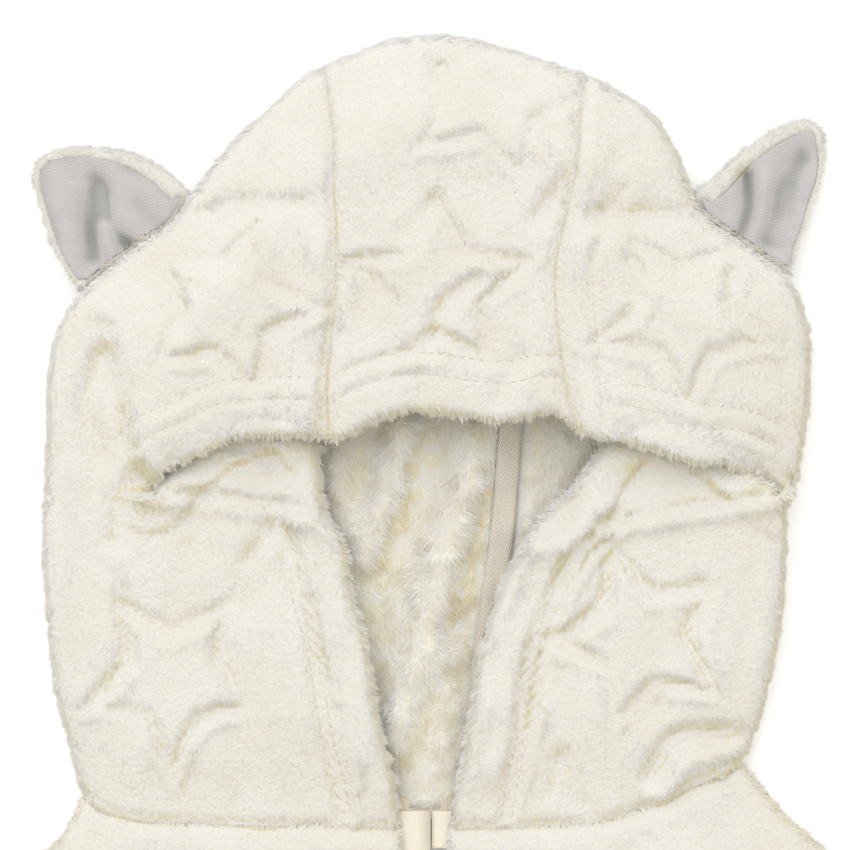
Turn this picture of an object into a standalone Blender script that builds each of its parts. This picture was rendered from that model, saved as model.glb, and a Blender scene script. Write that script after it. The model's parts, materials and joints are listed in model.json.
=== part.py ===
"""A child's hooded sherpa jacket (size 4, 104 cm) with two cat ears, lying on its back.

Metres, +Z up. The jacket lies in the XY plane: +Y runs from the neck seam to the top of the
hood, +X to the right of the picture, and Z is height above the surface. The origin is on that
surface, under the middle of the neck seam. Tables and sizes are in millimetres, and MM turns
them into metres where a mesh is made. Left and right are those of the picture.

Every cloth piece is a wall. Its plan outline is a smooth curve, its outer and inner faces are
height fields over that outline, and where the cloth folds back under itself an upper and a
lower sheet share the fold's edge.
"""

import math

import bpy
import numpy as np
from mathutils import Vector
from mathutils.geometry import delaunay_2d_cdt

for leftover in list(bpy.data.objects):
    bpy.data.objects.remove(leftover)
GARMENT = bpy.data.collections.new("sherpa_jacket")
bpy.context.scene.collection.children.link(GARMENT)

MM = 0.001

# ---------------------------------------------------------------- driving dimensions (mm)
CLOTH = 5.0  # plush outside, knitted ground and long pile inside, as one wall
SEAM_GAP = 0.3  # between two pieces that are sewn together
LAYER_GAP = 3.4  # air between the fronts and the back
HEM_EXTRA = 2.0  # what the turned hem adds under the wall
HEM_WIDTH = 22.0
BODY_TOP = 2 * CLOTH + LAYER_GAP
BODY_MID = BODY_TOP / 2
HOOD_TOP = 21.0  # the hood's upper face where nothing else lifts it
HOOD_MID = 10.5
HOOD_RISE_LENGTH = 45.0  # over this the hood rises from the neck seam to its own height
FOLD_RADIUS = 9.5
FLAP_RISE = 13.0  # the forehead part lies this much above the cheeks
FLAP_STEP = 11.0  # width of the step at its sides
FLAP_FADE = 38.0  # width over which it comes down to the crown's fold
LIP_RIDGE = 3.0  # the cheeks' upper edge swells by this
LIP_DROP = 6.0  # and then dips by this under the brim
LIP_DIP_WIDTH = 15.0
ROLL = 3.0  # how far a turned edge rounds off
HEM_ROLL = 1.5  # the same on the body, whose hems are thinner
EDGE_RADIUS = 8.0  # of the body's edge, along the shoulder and the side seam
EDGE_LIFT = 3.0  # the back's outer face comes up to its seam by this
EDGE_THICK = 2.0  # a panel's thickness right at those seams
SEAM_SETTLE = 22.0  # over this the fronts come down to the back at those seams
OVERLAP_FADE = 46.0  # the fronts are level again this far from the middle
STUD_CLEAR = 44.0  # no star comes nearer the middle than this
SEAM_DIP = 1.3  # a sewn seam pulls the plush in by this
SEAM_DIP_WIDTH = 7.0

STAR_RADIUS = 25.0  # mean radius of an embossed star
STAR_POINTS = 5
STAR_DEPTH = 0.26  # how deep its notches are, as a share of the mean radius
STAR_RISE = 1.8
STAR_SLOPE = 4.0  # width of the star's soft edge
STAR_MARGIN = 1.5  # a star keeps this clear of every edge
STAR_PITCH = (86.0, 74.0)  # across and along, on the body and the sleeves

EAR_GAP = 0.9  # between an ear and the fold that it stands in
EAR_SHELL = 4.0
EAR_LINING = 0.8
EAR_HEIGHT = 7.0  # of its lower face where it is sewn in
EAR_SLOPE = 0.09
EAR_RIM_WIDTH = 3.5
EAR_RIM_RISE = 1.2
TAPE_THICK = 0.8
HOOD_TAPE_WIDTH = 9.0
LABEL_THICK = 0.6
STUD_RADIUS = 6.0
STUD_HEIGHT = 2.2
STUD_STEPS = 20
STUD_FIRST, STUD_PITCH, STUD_COUNT = -84.0, -82.0, 5

FINE, MEDIUM, PLAIN = 12.0, 20.0, 60.0  # spacing of the points inside a sheet
EDGE_STEP = 10.0  # spacing of the points along an outline
ROLL_INSETS = (1.2, 3.2)  # rows of points that round a free edge
FOLD_INSETS = (1.2, 4.0, FOLD_RADIUS)  # the same along a fold, outside
HOLLOW_INSETS = (1.2, 4.5)  # and inside

# ------------------------------------------------------------------- outlines, x and y (mm)
HOOD_OUTLINE = [  # from the left end of the neck seam, over the crown, to its right end
    (-129.5, 11.5), (-135, 32), (-140.5, 56), (-143.5, 86), (-144.5, 112), (-143.5, 139),
    (-143, 161), (-141.5, 180), (-137, 192), (-129.5, 202), (-120, 211), (-107, 220.5),
    (-96, 228), (-88, 240), (-79, 252), (-69.5, 262.5), (-59, 272), (-48, 282), (-38.5, 287.5),
    (-27.5, 292), (-15, 297), (2, 299.5), (17, 298), (35.5, 293), (50.5, 288), (61, 284.5),
    (73, 278.5), (84.5, 271), (92.5, 260.5), (98, 249.5), (101, 240), (105, 231.5),
    (116, 223.5), (127.5, 215.5), (137, 208), (142, 199), (145, 186), (145.5, 169),
    (144, 150), (141, 134), (137.5, 124), (136.5, 101), (134.5, 79), (131.5, 60),
    (127.5, 43), (122.5, 30), (119.5, 24),
]
FRONT_SEAM_LEFT = [  # centre strip to left side, from the brim up to the crown's fold
    (-35.5, 146), (-36.5, 165), (-34.5, 184), (-33, 203), (-32.5, 222), (-34, 240),
    (-33.5, 255), (-35, 268.5), (-36.5, 279), (-38.5, 287.5),
]
FRONT_SEAM_RIGHT = [
    (56, 150), (52.5, 167), (50, 184), (48.5, 199), (49, 214), (52, 227), (55, 240),
    (57.5, 255), (58.5, 270), (61, 284.5),
]
BACK_SEAM_LEFT = [  # the same strip, underneath, from the neck up to the crown's fold
    (-50, 7), (-60, 60), (-63, 110), (-61, 160), (-56, 210), (-46, 255), (-38.5, 287.5),
]
BACK_SEAM_RIGHT = [
    (16, 7), (22, 60), (29, 110), (33.5, 160), (40, 210), (51, 255), (61, 284.5),
]
FRONT_NECK_LEFT = [(-129.5, 11.5), (-117, 4.5), (-100, 1.5), (-75, 0.5), (-37, 0), (-9.5, -1)]
FRONT_NECK_RIGHT = [(9.5, -1), (21, -0.5), (50, 0), (69, 2), (88, 8.5), (103, 15.5), (119.5, 24)]
BACK_NECK = [
    (-129.5, 11.5), (-112, 8), (-80, 7), (-50, 7), (-16, 7), (16, 7), (50, 8), (85, 12), (119.5, 24),
]
BRIM = [  # the forehead edge, from the left corner of the face opening to the right one
    (-102.5, 128), (-97.5, 135), (-84.5, 140.5), (-73, 146.5), (-62, 147.5), (-47, 148),
    (-35.5, 146), (-28, 148.5), (-17, 154.5), (-2, 157), (20.5, 154), (35.5, 154), (47, 156.5),
    (56, 150), (62, 147.5), (80.5, 144), (103, 137), (113, 137), (122, 133), (133, 127.5),
]
CHEEK_EDGE_LEFT = [  # the face opening's left edge, from the neck to under the brim's corner
    (-9.5, -1), (-10.5, 11), (-13, 24.5), (-16.5, 37.5), (-19, 52.5), (-21.5, 67.5), (-24.5, 80.5),
    (-28, 92), (-29, 101), (-31, 109), (-37.5, 121), (-39, 133), (-41, 148), (-52, 156.5), (-68, 156),
    (-82, 149), (-94, 139.5), (-102.5, 128),
]
CHEEK_EDGE_RIGHT = [
    (9.5, -1), (11.5, 15), (16, 37), (20.5, 67.5), (29.5, 93.5), (42.5, 116), (54, 126.5),
    (62, 137.5), (69.5, 148), (81, 155), (98, 153), (116, 143), (126, 135), (133, 127.5),
]
CHEEK_CREST_LEFT = [(-102.5, 129), (-84, 132.5), (-69, 130), (-54, 124), (-43, 118), (-30, 112)]
CHEEK_CREST_RIGHT = [(36, 112), (50, 110), (62, 116), (73, 119.5), (84, 121.5), (100, 124), (118, 126), (133, 128)]
FLAP_LEFT = [(-102.5, 126), (-108, 131), (-114, 140), (-117, 150), (-119, 170), (-125, 190), (-140, 205)]
FLAP_RIGHT = [(133, 126), (139, 131), (141.5, 150), (142.5, 175), (144, 205)]

SHOULDER_LEFT = [(-129.5, 11.5), (-133, 4), (-140, -7), (-151, -15), (-165, -21), (-180, -26.5)]
SHOULDER_RIGHT = [(119.5, 24), (128, 14), (138, 3), (148, -6), (163, -17), (180, -26.5)]
ARMHOLE = [(180, -26.5), (174, -60), (172, -95), (175, -130), (184, -162), (200, -190)]
SIDE_SEAM = [(200, -190), (200, -250), (201, -340), (204, -440)]
HEM = [(-204, -440), (-100, -444), (0, -445), (100, -444), (204, -440)]
FRONT_EDGE = [  # of the front that lies on top; the one below mirrors it
    (-9.5, -1), (-9.2, -9), (-6, -25), (2, -48), (9, -75), (11, -105), (11, -300), (11, -444),
]
SLEEVE_TOP = [
    (180, -26.5), (215, -43), (255, -78), (296, -123), (331, -168), (361, -211), (388, -250), (411, -283),
]
SLEEVE_UNDER = [(200, -190), (226, -224), (264, -267), (302, -309), (338, -349)]
CUFF = [(338, -349), (362, -327.5), (387, -305), (411, -283)]

EAR_LEFT = [  # from the base's outer end, round the tip, to its inner end
    (-131, 204), (-137, 213), (-141, 221.5), (-144.5, 232), (-147.5, 242), (-148, 249), (-144, 254),
    (-136.5, 256.5), (-122, 257), (-110.5, 254.5), (-101, 250), (-94, 245), (-89.5, 240),
]
EAR_RIGHT = [
    (137.5, 209), (140, 219), (143, 226), (146, 236), (149.5, 246), (150.5, 257), (149, 265), (143, 267.5),
    (137, 265.5), (127, 260.5), (118, 254), (109.5, 246), (101.5, 240),
]
HOOD_STARS = [  # centre x, y (mm) and direction of one tip (degrees from +X)
    (-95, 57, 54), (-73, 196, 0), (5, 203, 18), (81, 72, 36), (97, 194, 54),
]
# Soft folds: centre x, y, half width, half length (mm), turn of its length from +Y (degrees), height (mm).
HOOD_FOLDS = [
    (-72, 233, 8, 34, 82, -2.6), (76, 232, 8, 30, 96, -2.6), (102, 26, 10, 24, 68, 2.6),
    (-118, 30, 9, 20, 30, 1.8), (-60, 96, 9, 26, -34, -1.8), (52, 60, 8, 26, 20, -1.6), (8, 238, 9, 30, 88, -1.6),
]
BODY_FOLDS = [
    (-150, -205, 12, 46, -38, 2.2), (-112, -150, 11, 38, -52, -2.0), (-58, -330, 12, 56, 14, 1.8),
    (-120, -385, 10, 44, -8, -2.0), (-165, -120, 11, 30, 20, 1.8), (-70, -62, 10, 34, 64, -1.6),
]
SLEEVE_FOLDS = [
    (222, -150, 10, 34, 62, 2.2), (246, -118, 9, 32, 48, -2.0), (292, -214, 10, 36, -36, 1.8),
    (318, -262, 9, 30, -58, -2.2), (348, -268, 9, 28, -46, 1.6), (206, -96, 9, 26, 12, -1.6),
]
EAR_LEFT_FOLDS = [(-125, 231, 5, 14, 4, -2.6), (-117, 226, 6, 12, -30, 2.2), (-104, 240, 7, 14, 60, 0.9)]
EAR_RIGHT_FOLDS = [(121, 240, 5, 12, -4, -2.4), (128, 232, 6, 12, 24, 2.0), (139, 244, 7, 15, -20, -1.2)]


# ------------------------------------------------------------------------------ plan curves
def smooth(points, step=EDGE_STEP):
    """A centripetal Catmull-Rom curve through points, sampled evenly about step apart."""
    p = np.asarray(points, float)
    p = np.vstack([2 * p[0] - p[1], p, 2 * p[-1] - p[-2]])
    dense = []
    for a, b, c, d in zip(p[:-3], p[1:-2], p[2:-1], p[3:]):
        knots = np.cumsum([0] + [math.sqrt(np.linalg.norm(v)) for v in (b - a, c - b, d - c)])
        t = np.linspace(knots[1], knots[2], 16, endpoint=False)[:, None]
        ab = a + (b - a) * (t - knots[0]) / (knots[1] - knots[0])
        bc = b + (c - b) * (t - knots[1]) / (knots[2] - knots[1])
        cd = c + (d - c) * (t - knots[2]) / (knots[3] - knots[2])
        abc = ab + (bc - ab) * (t - knots[0]) / (knots[2] - knots[0])
        bcd = bc + (cd - bc) * (t - knots[1]) / (knots[3] - knots[1])
        dense.append(abc + (bcd - abc) * (t - knots[1]) / (knots[2] - knots[1]))
    dense.append(p[-2][None])
    return spaced(np.vstack(dense), step)


def spaced(line, step):
    along = np.concatenate([[0], np.cumsum(np.linalg.norm(np.diff(line, axis=0), axis=1))])
    count = max(2, round(along[-1] / step) + 1)
    at = np.linspace(0, along[-1], count)
    return np.stack([np.interp(at, along, line[:, k]) for k in (0, 1)], axis=1)


def normals(line):
    """Unit normals to the left of the line's direction."""
    d = np.gradient(line, axis=0)
    d /= np.linalg.norm(d, axis=1)[:, None]
    return np.stack([-d[:, 1], d[:, 0]], axis=1)


def shifted(line, distance):
    return line + normals(line) * distance


def portion(line, start, end, step=EDGE_STEP):
    """The stretch of a dense line between the places nearest to two points, ending exactly at them."""
    i, j = (int(np.linalg.norm(line - p, axis=1).argmin()) for p in (start, end))
    part = line[i : j + 1] if i <= j else line[j : i + 1][::-1]
    part = spaced(part, step)
    part[0], part[-1] = start, end
    return part


def mirrored(points):
    return [(-x, y) for x, y in points]


def point_at(line, length):
    """The point this far along a line."""
    along = np.concatenate([[0], np.cumsum(np.linalg.norm(np.diff(line, axis=0), axis=1))])
    return np.array([np.interp(length, along, line[:, k]) for k in (0, 1)])


def nearest(line, point):
    return line[np.linalg.norm(line - point, axis=1).argmin()]


def moved_end(line, first=None, last=None):
    """The line with its first or last point put elsewhere."""
    line = line.copy()
    if first is not None:
        line[0] = first
    if last is not None:
        line[-1] = last
    return line


def loop_of(*lines):
    """A closed outline from lines that each start where the one before ends."""
    return np.vstack([line[:-1] for line in lines])


def distance(points, line):
    """How far each point is from an open line."""
    best = np.full(len(points), np.inf)
    for a, b in zip(line[:-1], line[1:]):
        d = b - a
        t = np.clip((points - a) @ d / max(d @ d, 1e-12), 0, 1)
        best = np.minimum(best, np.linalg.norm(points - a - t[:, None] * d, axis=1))
    return best


def inside(points, outline):
    """Which points a closed outline holds."""
    x, y = points[:, 0], points[:, 1]
    held = np.zeros(len(points), bool)
    for (ax, ay), (bx, by) in zip(outline, np.roll(outline, -1, axis=0)):
        crosses = (ay > y) != (by > y)
        with np.errstate(divide="ignore", invalid="ignore"):
            held ^= crosses & (x < (bx - ax) * (y - ay) / (by - ay) + ax)
    return held


def closed(outline):
    return np.vstack([outline, outline[:1]])


# -------------------------------------------------------------------------------- profiles
def ramp(t):
    t = np.clip(t, 0, 1)
    return t * t * (3 - 2 * t)


def quarter_round(d, radius):
    """0 at an edge and 1 from radius inwards, rounded like a fold."""
    s = np.clip(d / radius, 0, 1)
    return np.sqrt(1 - (1 - s) ** 2)


def hump(p, x, y, width, length, turn=0.0):
    """A soft ridge: 1 at its middle, falling off over its half width and half length."""
    a = math.radians(turn)
    dx, dy = p[:, 0] - x, p[:, 1] - y
    across, along = dx * math.cos(a) + dy * math.sin(a), -dx * math.sin(a) + dy * math.cos(a)
    return np.exp(-((across / width) ** 2) - (along / length) ** 2)


# ----------------------------------------------------------------------------- star relief
def star_radius(angle):
    return STAR_RADIUS * (1 + STAR_DEPTH * np.cos(STAR_POINTS * angle))


def star_relief(p, stars):
    z = np.zeros(len(p))
    for x, y, turn in stars:
        dx, dy = p[:, 0] - x, p[:, 1] - y
        edge = star_radius(np.arctan2(dy, dx) - math.radians(turn)) - np.hypot(dx, dy)
        z = np.maximum(z, STAR_RISE * ramp(edge / STAR_SLOPE + 0.5))
    return z


def stars_in(outline, stars):
    """Those of the stars that an outline holds, clear of its edge."""
    centres = np.array([s[:2] for s in stars], float)
    reach = STAR_RADIUS * (1 + STAR_DEPTH) + STAR_MARGIN
    clear = inside(centres, outline) & (distance(centres, closed(outline)) > reach)
    return [s for s, keep in zip(stars, clear) if keep]


def star_rings(star):
    """The foot and the crown of a star's soft edge, as two closed rings of points."""
    x, y, turn = star
    a = np.arange(2 * STAR_POINTS) * math.pi / STAR_POINTS
    rings = []
    for offset in (0.5 * STAR_SLOPE, -0.5 * STAR_SLOPE):
        r = star_radius(a) + offset
        b = a + math.radians(turn)
        rings.append(np.stack([x + r * np.cos(b), y + r * np.sin(b)], axis=1))
    return rings


def star_rows(outline, phase=0.0):
    """Stars in staggered rows over an outline, each turned a little more than the last."""
    across, along = STAR_PITCH
    low, high = outline.min(0), outline.max(0)
    stars = []
    for row in range(int((high[1] - low[1]) / along) + 1):
        for column in range(int((high[0] - low[0]) / across) + 2):
            x = low[0] + (column + 0.5 * (row % 2) + phase) * across
            y = high[1] - (row + 0.5) * along
            stars.append((x, y, 37 * row + 23 * column))
    return stars_in(outline, stars)


# ----------------------------------------------------------------------------------- sheets
def lattice(outline, step, stars=()):
    """Points in a triangular grid inside an outline, off its edge and off the stars' edges."""
    low, high = outline.min(0), outline.max(0)
    rows = []
    for k, y in enumerate(np.arange(low[1] + step / 2, high[1], step * math.sqrt(0.75))):
        x = np.arange(low[0] + step * (0.25 + 0.5 * (k % 2)), high[0], step)
        rows.append(np.stack([x, np.full_like(x, y)], axis=1))
    p = np.vstack(rows)
    keep = inside(p, outline) & (distance(p, closed(outline)) > 0.62 * step)
    for star in stars:
        for ring in star_rings(star):
            keep &= distance(p, closed(ring)) > 0.35 * step
    return p[keep]


def ring_points(line, outline, insets):
    """Rows of points that follow an edge inside an outline, for its rounding."""
    rows = [np.empty((0, 2))]
    whole = closed(outline)
    for inset in insets:
        for side in (1, -1):
            p = shifted(line, side * inset)[1:-1]
            held = inside(p, outline)
            rows.append(p[held & (distance(p, whole) > 0.85 * inset)])
    return np.vstack(rows)


class Shell:
    """An open surface put together from sheets, which are welded along the lines they share."""

    def __init__(self):
        self.points, self.faces, self.index = [], [], {}

    def key(self, sheet, point, shared):
        xy = (round(float(point[0]), 3), round(float(point[1]), 3))
        return ("shared", *xy) if xy in shared else (sheet, *xy)

    def add(self, sheet, outline, extra, rings, height, up, shared):
        """Triangulates an outline with extra points and closed rings inside, and lifts it by height."""
        coords = [*outline, *extra]
        edges = [(i, (i + 1) % len(outline)) for i in range(len(outline))]
        for ring in rings:
            first = len(coords)
            coords += list(ring)
            edges += [(first + i, first + (i + 1) % len(ring)) for i in range(len(ring))]
        made = delaunay_2d_cdt([Vector(c) for c in coords], edges, [], 1, 1e-4)
        xy = np.array([coords[ids[0]] if ids else made[0][k] for k, ids in enumerate(made[3])])
        z = height(xy)
        ids = []
        for point, level in zip(xy, z):
            key = self.key(sheet, point, shared)
            if key not in self.index:
                self.index[key] = len(self.points)
                self.points.append((*point, level))
            ids.append(self.index[key])
        for face in made[2]:
            a, b, c = (ids[i] for i in face)
            pa, pb, pc = (np.array(self.points[i][:2]) for i in (a, b, c))
            counter = (pb[0] - pa[0]) * (pc[1] - pa[1]) > (pb[1] - pa[1]) * (pc[0] - pa[0])
            self.faces.append((a, b, c) if counter == up else (a, c, b))

    def ids(self, sheet, line, shared):
        return [self.index[self.key(sheet, p, shared)] for p in line]


def keys_of(*lines):
    return {(round(float(x), 3), round(float(y), 3)) for line in lines for x, y in line}


def solid(name, outer, inner, loops, material):
    """One closed wall: the outer shell, the inner shell and a rim along each pair of loops."""
    count = len(outer.points)
    points = [Vector(p) * MM for p in outer.points + inner.points]
    faces = list(outer.faces) + [tuple(count + i for i in face) for face in inner.faces]
    used = {frozenset(e) for f in outer.faces for e in zip(f, f[1:] + f[:1])}
    forward = {e for f in outer.faces for e in zip(f, f[1:] + f[:1])}
    for out_loop, in_loop in loops:
        pairs = list(zip(out_loop, in_loop))
        for (a, ia), (b, ib) in zip(pairs, pairs[1:] + pairs[:1]):
            if a == b or frozenset((a, b)) not in used:
                continue
            ia, ib = count + ia, count + ib
            # The shorter diagonal, so that the two edges of a seam are cut alike.
            if (points[a] - points[ib]).length < (points[b] - points[ia]).length:
                pair = [(a, ib, b), (a, ia, ib)]
            else:
                pair = [(a, ia, b), (b, ia, ib)]
            faces += pair if (a, b) in forward else [face[::-1] for face in pair]
    mesh = bpy.data.meshes.new(name)
    mesh.from_pydata(points, [], faces)
    mesh.materials.append(material)
    mesh.shade_smooth()
    mesh.update()
    obj = bpy.data.objects.new(name, mesh)
    GARMENT.objects.link(obj)
    return obj


def gathered(rows, filling=(), clear=5.0):
    """Rows of points, and a filling of points that stay clear of the rows, as one array."""
    kept = np.empty((0, 2))
    for group, room in [(row, 0.9) for row in rows] + [(filling, clear)]:
        for p in group:
            if not len(kept) or np.linalg.norm(kept - p, axis=1).min() > room:
                kept = np.vstack([kept, p])
    return kept


def held_rows(rows, outline, room=3.0):
    """Rows cut down to the points that an outline holds, off its edge."""
    return [row[inside(row, outline) & (distance(row, closed(outline)) > room)] for row in rows]


def panel(name, outline, top, bottom, material, points, under_points, rings=()):
    """A single layer: an upper and a lower face over one outline, and a rim round it."""
    upper, lower = Shell(), Shell()
    upper.add("", outline, points, rings, top, True, set())
    lower.add("", outline, under_points, [], bottom, False, set())
    loop = [upper.ids("", outline, set()), lower.ids("", outline, set())]
    return solid(name, upper, lower, [loop], material)


# -------------------------------------------------------------------------------- materials
def cloth_material(name, color, roughness=0.9, sheen=0.3):
    made = bpy.data.materials.new(name)
    made.use_nodes = True
    shader = made.node_tree.nodes["Principled BSDF"]
    shader.inputs["Base Color"].default_value = (*color, 1)
    shader.inputs["Roughness"].default_value = roughness
    shader.inputs["Sheen Weight"].default_value = sheen
    return made


PLUSH = cloth_material("cream plush", (0.90, 0.86, 0.76))
TWILL = cloth_material("lilac grey twill", (0.62, 0.57, 0.60), 0.8)
TAPE = cloth_material("beige tape", (0.74, 0.66, 0.55), 0.8)
SATIN = cloth_material("cream satin", (0.86, 0.83, 0.76), 0.4)
STUD = cloth_material("ivory stud", (0.88, 0.84, 0.75), 0.35, 0.0)

# --------------------------------------------------------------------------- the hood's form
HALF_GAP = SEAM_GAP / 2
CROWN = smooth(HOOD_OUTLINE, 1.0)
BRIM_LINE = smooth(BRIM, 1.0)
BRIM_CUTS = [line[0] for line in (FRONT_SEAM_LEFT, FRONT_SEAM_RIGHT)]
NECK_CUTS = [line[0] for line in (BACK_SEAM_LEFT, BACK_SEAM_RIGHT)]
NECK_STOPS = [BACK_NECK[0], *NECK_CUTS, BACK_NECK[-1]]
NECK_PARTS = [portion(smooth(BACK_NECK, 1.0), *ends) for ends in zip(NECK_STOPS, NECK_STOPS[1:])]
NECK_LINES = [smooth(line, 4.0) for line in (FRONT_NECK_LEFT, FRONT_NECK_RIGHT)]


def hood_levels(p):
    """Heights of the hood's top and of its fold's middle plane, rising from the neck seam."""
    s = ramp(np.minimum(*(distance(p, line) for line in NECK_LINES)) / HOOD_RISE_LENGTH)
    return BODY_TOP + (HOOD_TOP - BODY_TOP) * s, BODY_MID + (HOOD_MID - BODY_MID) * s


def flap_share(p, margin=0.0):
    """1 where the forehead part lies on the cheeks, and 0 beside it."""
    left, right = (
        np.interp(p[:, 1], [y for _, y in side], [x for x, _ in side]) for side in (FLAP_LEFT, FLAP_RIGHT)
    )
    across = ramp((p[:, 0] - left - margin) / FLAP_STEP) * ramp((right - margin - p[:, 0]) / FLAP_STEP)
    return across * ramp((distance(p, CROWN) - margin) / FLAP_FADE)


def folds_height(p, folds):
    return sum(row[5] * hump(p, *row[:5]) for row in folds)


def hood_top(p, wall=0.0):
    """The hood's upper face. With wall, the face of its hollow, which is inset from the fold too."""
    top, mid = hood_levels(p)
    d = distance(p, CROWN)
    z = mid + (top - wall - mid) * quarter_round(d - wall, FOLD_RADIUS - wall)
    return z + folds_height(p, HOOD_FOLDS) * ramp(d / 20)


def flap_top(p, wall=0.0):
    return hood_top(p, wall) + FLAP_RISE * flap_share(p, wall)


def cheek_top(p, crest, corner, wall=0.0):
    """The cheek, with the rounded ridge along its upper edge that dips under the brim."""
    ahead = p[:, 1] - np.interp(p[:, 0], crest[:, 0], crest[:, 1])
    ridge = LIP_RIDGE * np.exp(-(((ahead + 4) / 9) ** 2)) - LIP_DROP * ramp((ahead - 1) / LIP_DIP_WIDTH)
    outward = (p[:, 0] - corner[0]) * math.copysign(1, corner[0])
    at_side = ramp(1 - np.maximum(0, outward) / 15)
    at_front = ramp((np.abs(p[:, 0]) - 20) / 15)
    return hood_top(p, wall) + ridge * at_side * at_front


def under_top(p, wall=0.0):
    """The hood's underside. With wall, the floor of its hollow."""
    _, mid = hood_levels(p)
    return mid - (mid - wall) * quarter_round(distance(p, CROWN) - wall, FOLD_RADIUS - wall)


def near(p, lines):
    """How far each point is from the nearest of some lines."""
    return np.min([distance(p, line) for line in lines], axis=0)


def rolled(z, p, lines, amount):
    """Rounds a face off towards its free edges."""
    return z - amount * (1 - quarter_round(near(p, lines), ROLL))


def seam_dip(p, lines):
    return SEAM_DIP * (1 - ramp(near(p, lines) / SEAM_DIP_WIDTH))


def hem_extra(p, edge):
    """What a turned hem adds under the wall, fading out towards the neck seam."""
    return HEM_EXTRA * ramp((HEM_WIDTH - distance(p, edge)) / 4) * ramp(near(p, NECK_LINES) / HEM_WIDTH)


# ------------------------------------------------------------------------------ hood panels
def inner_fold(fold, inset, start_lines, end_lines):
    """The fold's line on the hollow's side. Its ends lie on the edges that the fold runs into."""
    ends = (np.mean([point_at(line, CLOTH) for line in lines], axis=0) for lines in (start_lines, end_lines))
    return moved_end(shifted(fold, inset), *ends)


def add_sheets(shell, sheets, shared):
    for name, outline, points, stars, height, up in sheets:
        rings = [ring for star in stars for ring in star_rings(star)]
        shell.add(name, outline, points, rings, height, up, shared)


def edge_loop(shell, shared, edges):
    """The shell's free edge, from lines that each belong to a sheet and follow each other."""
    return [i for sheet, line in edges for i in shell.ids(sheet, line, shared)[:-1]]


def flap_rows(flap, wall=0.0):
    """Rows along the foot and the top of the step at the forehead part's side."""
    line = smooth(flap[1:-1], 9.0)
    inward = -math.copysign(1, flap[0][0])
    return [line + (inward * (wall + off), 0) for off in (-1, 5, 11)]


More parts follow.
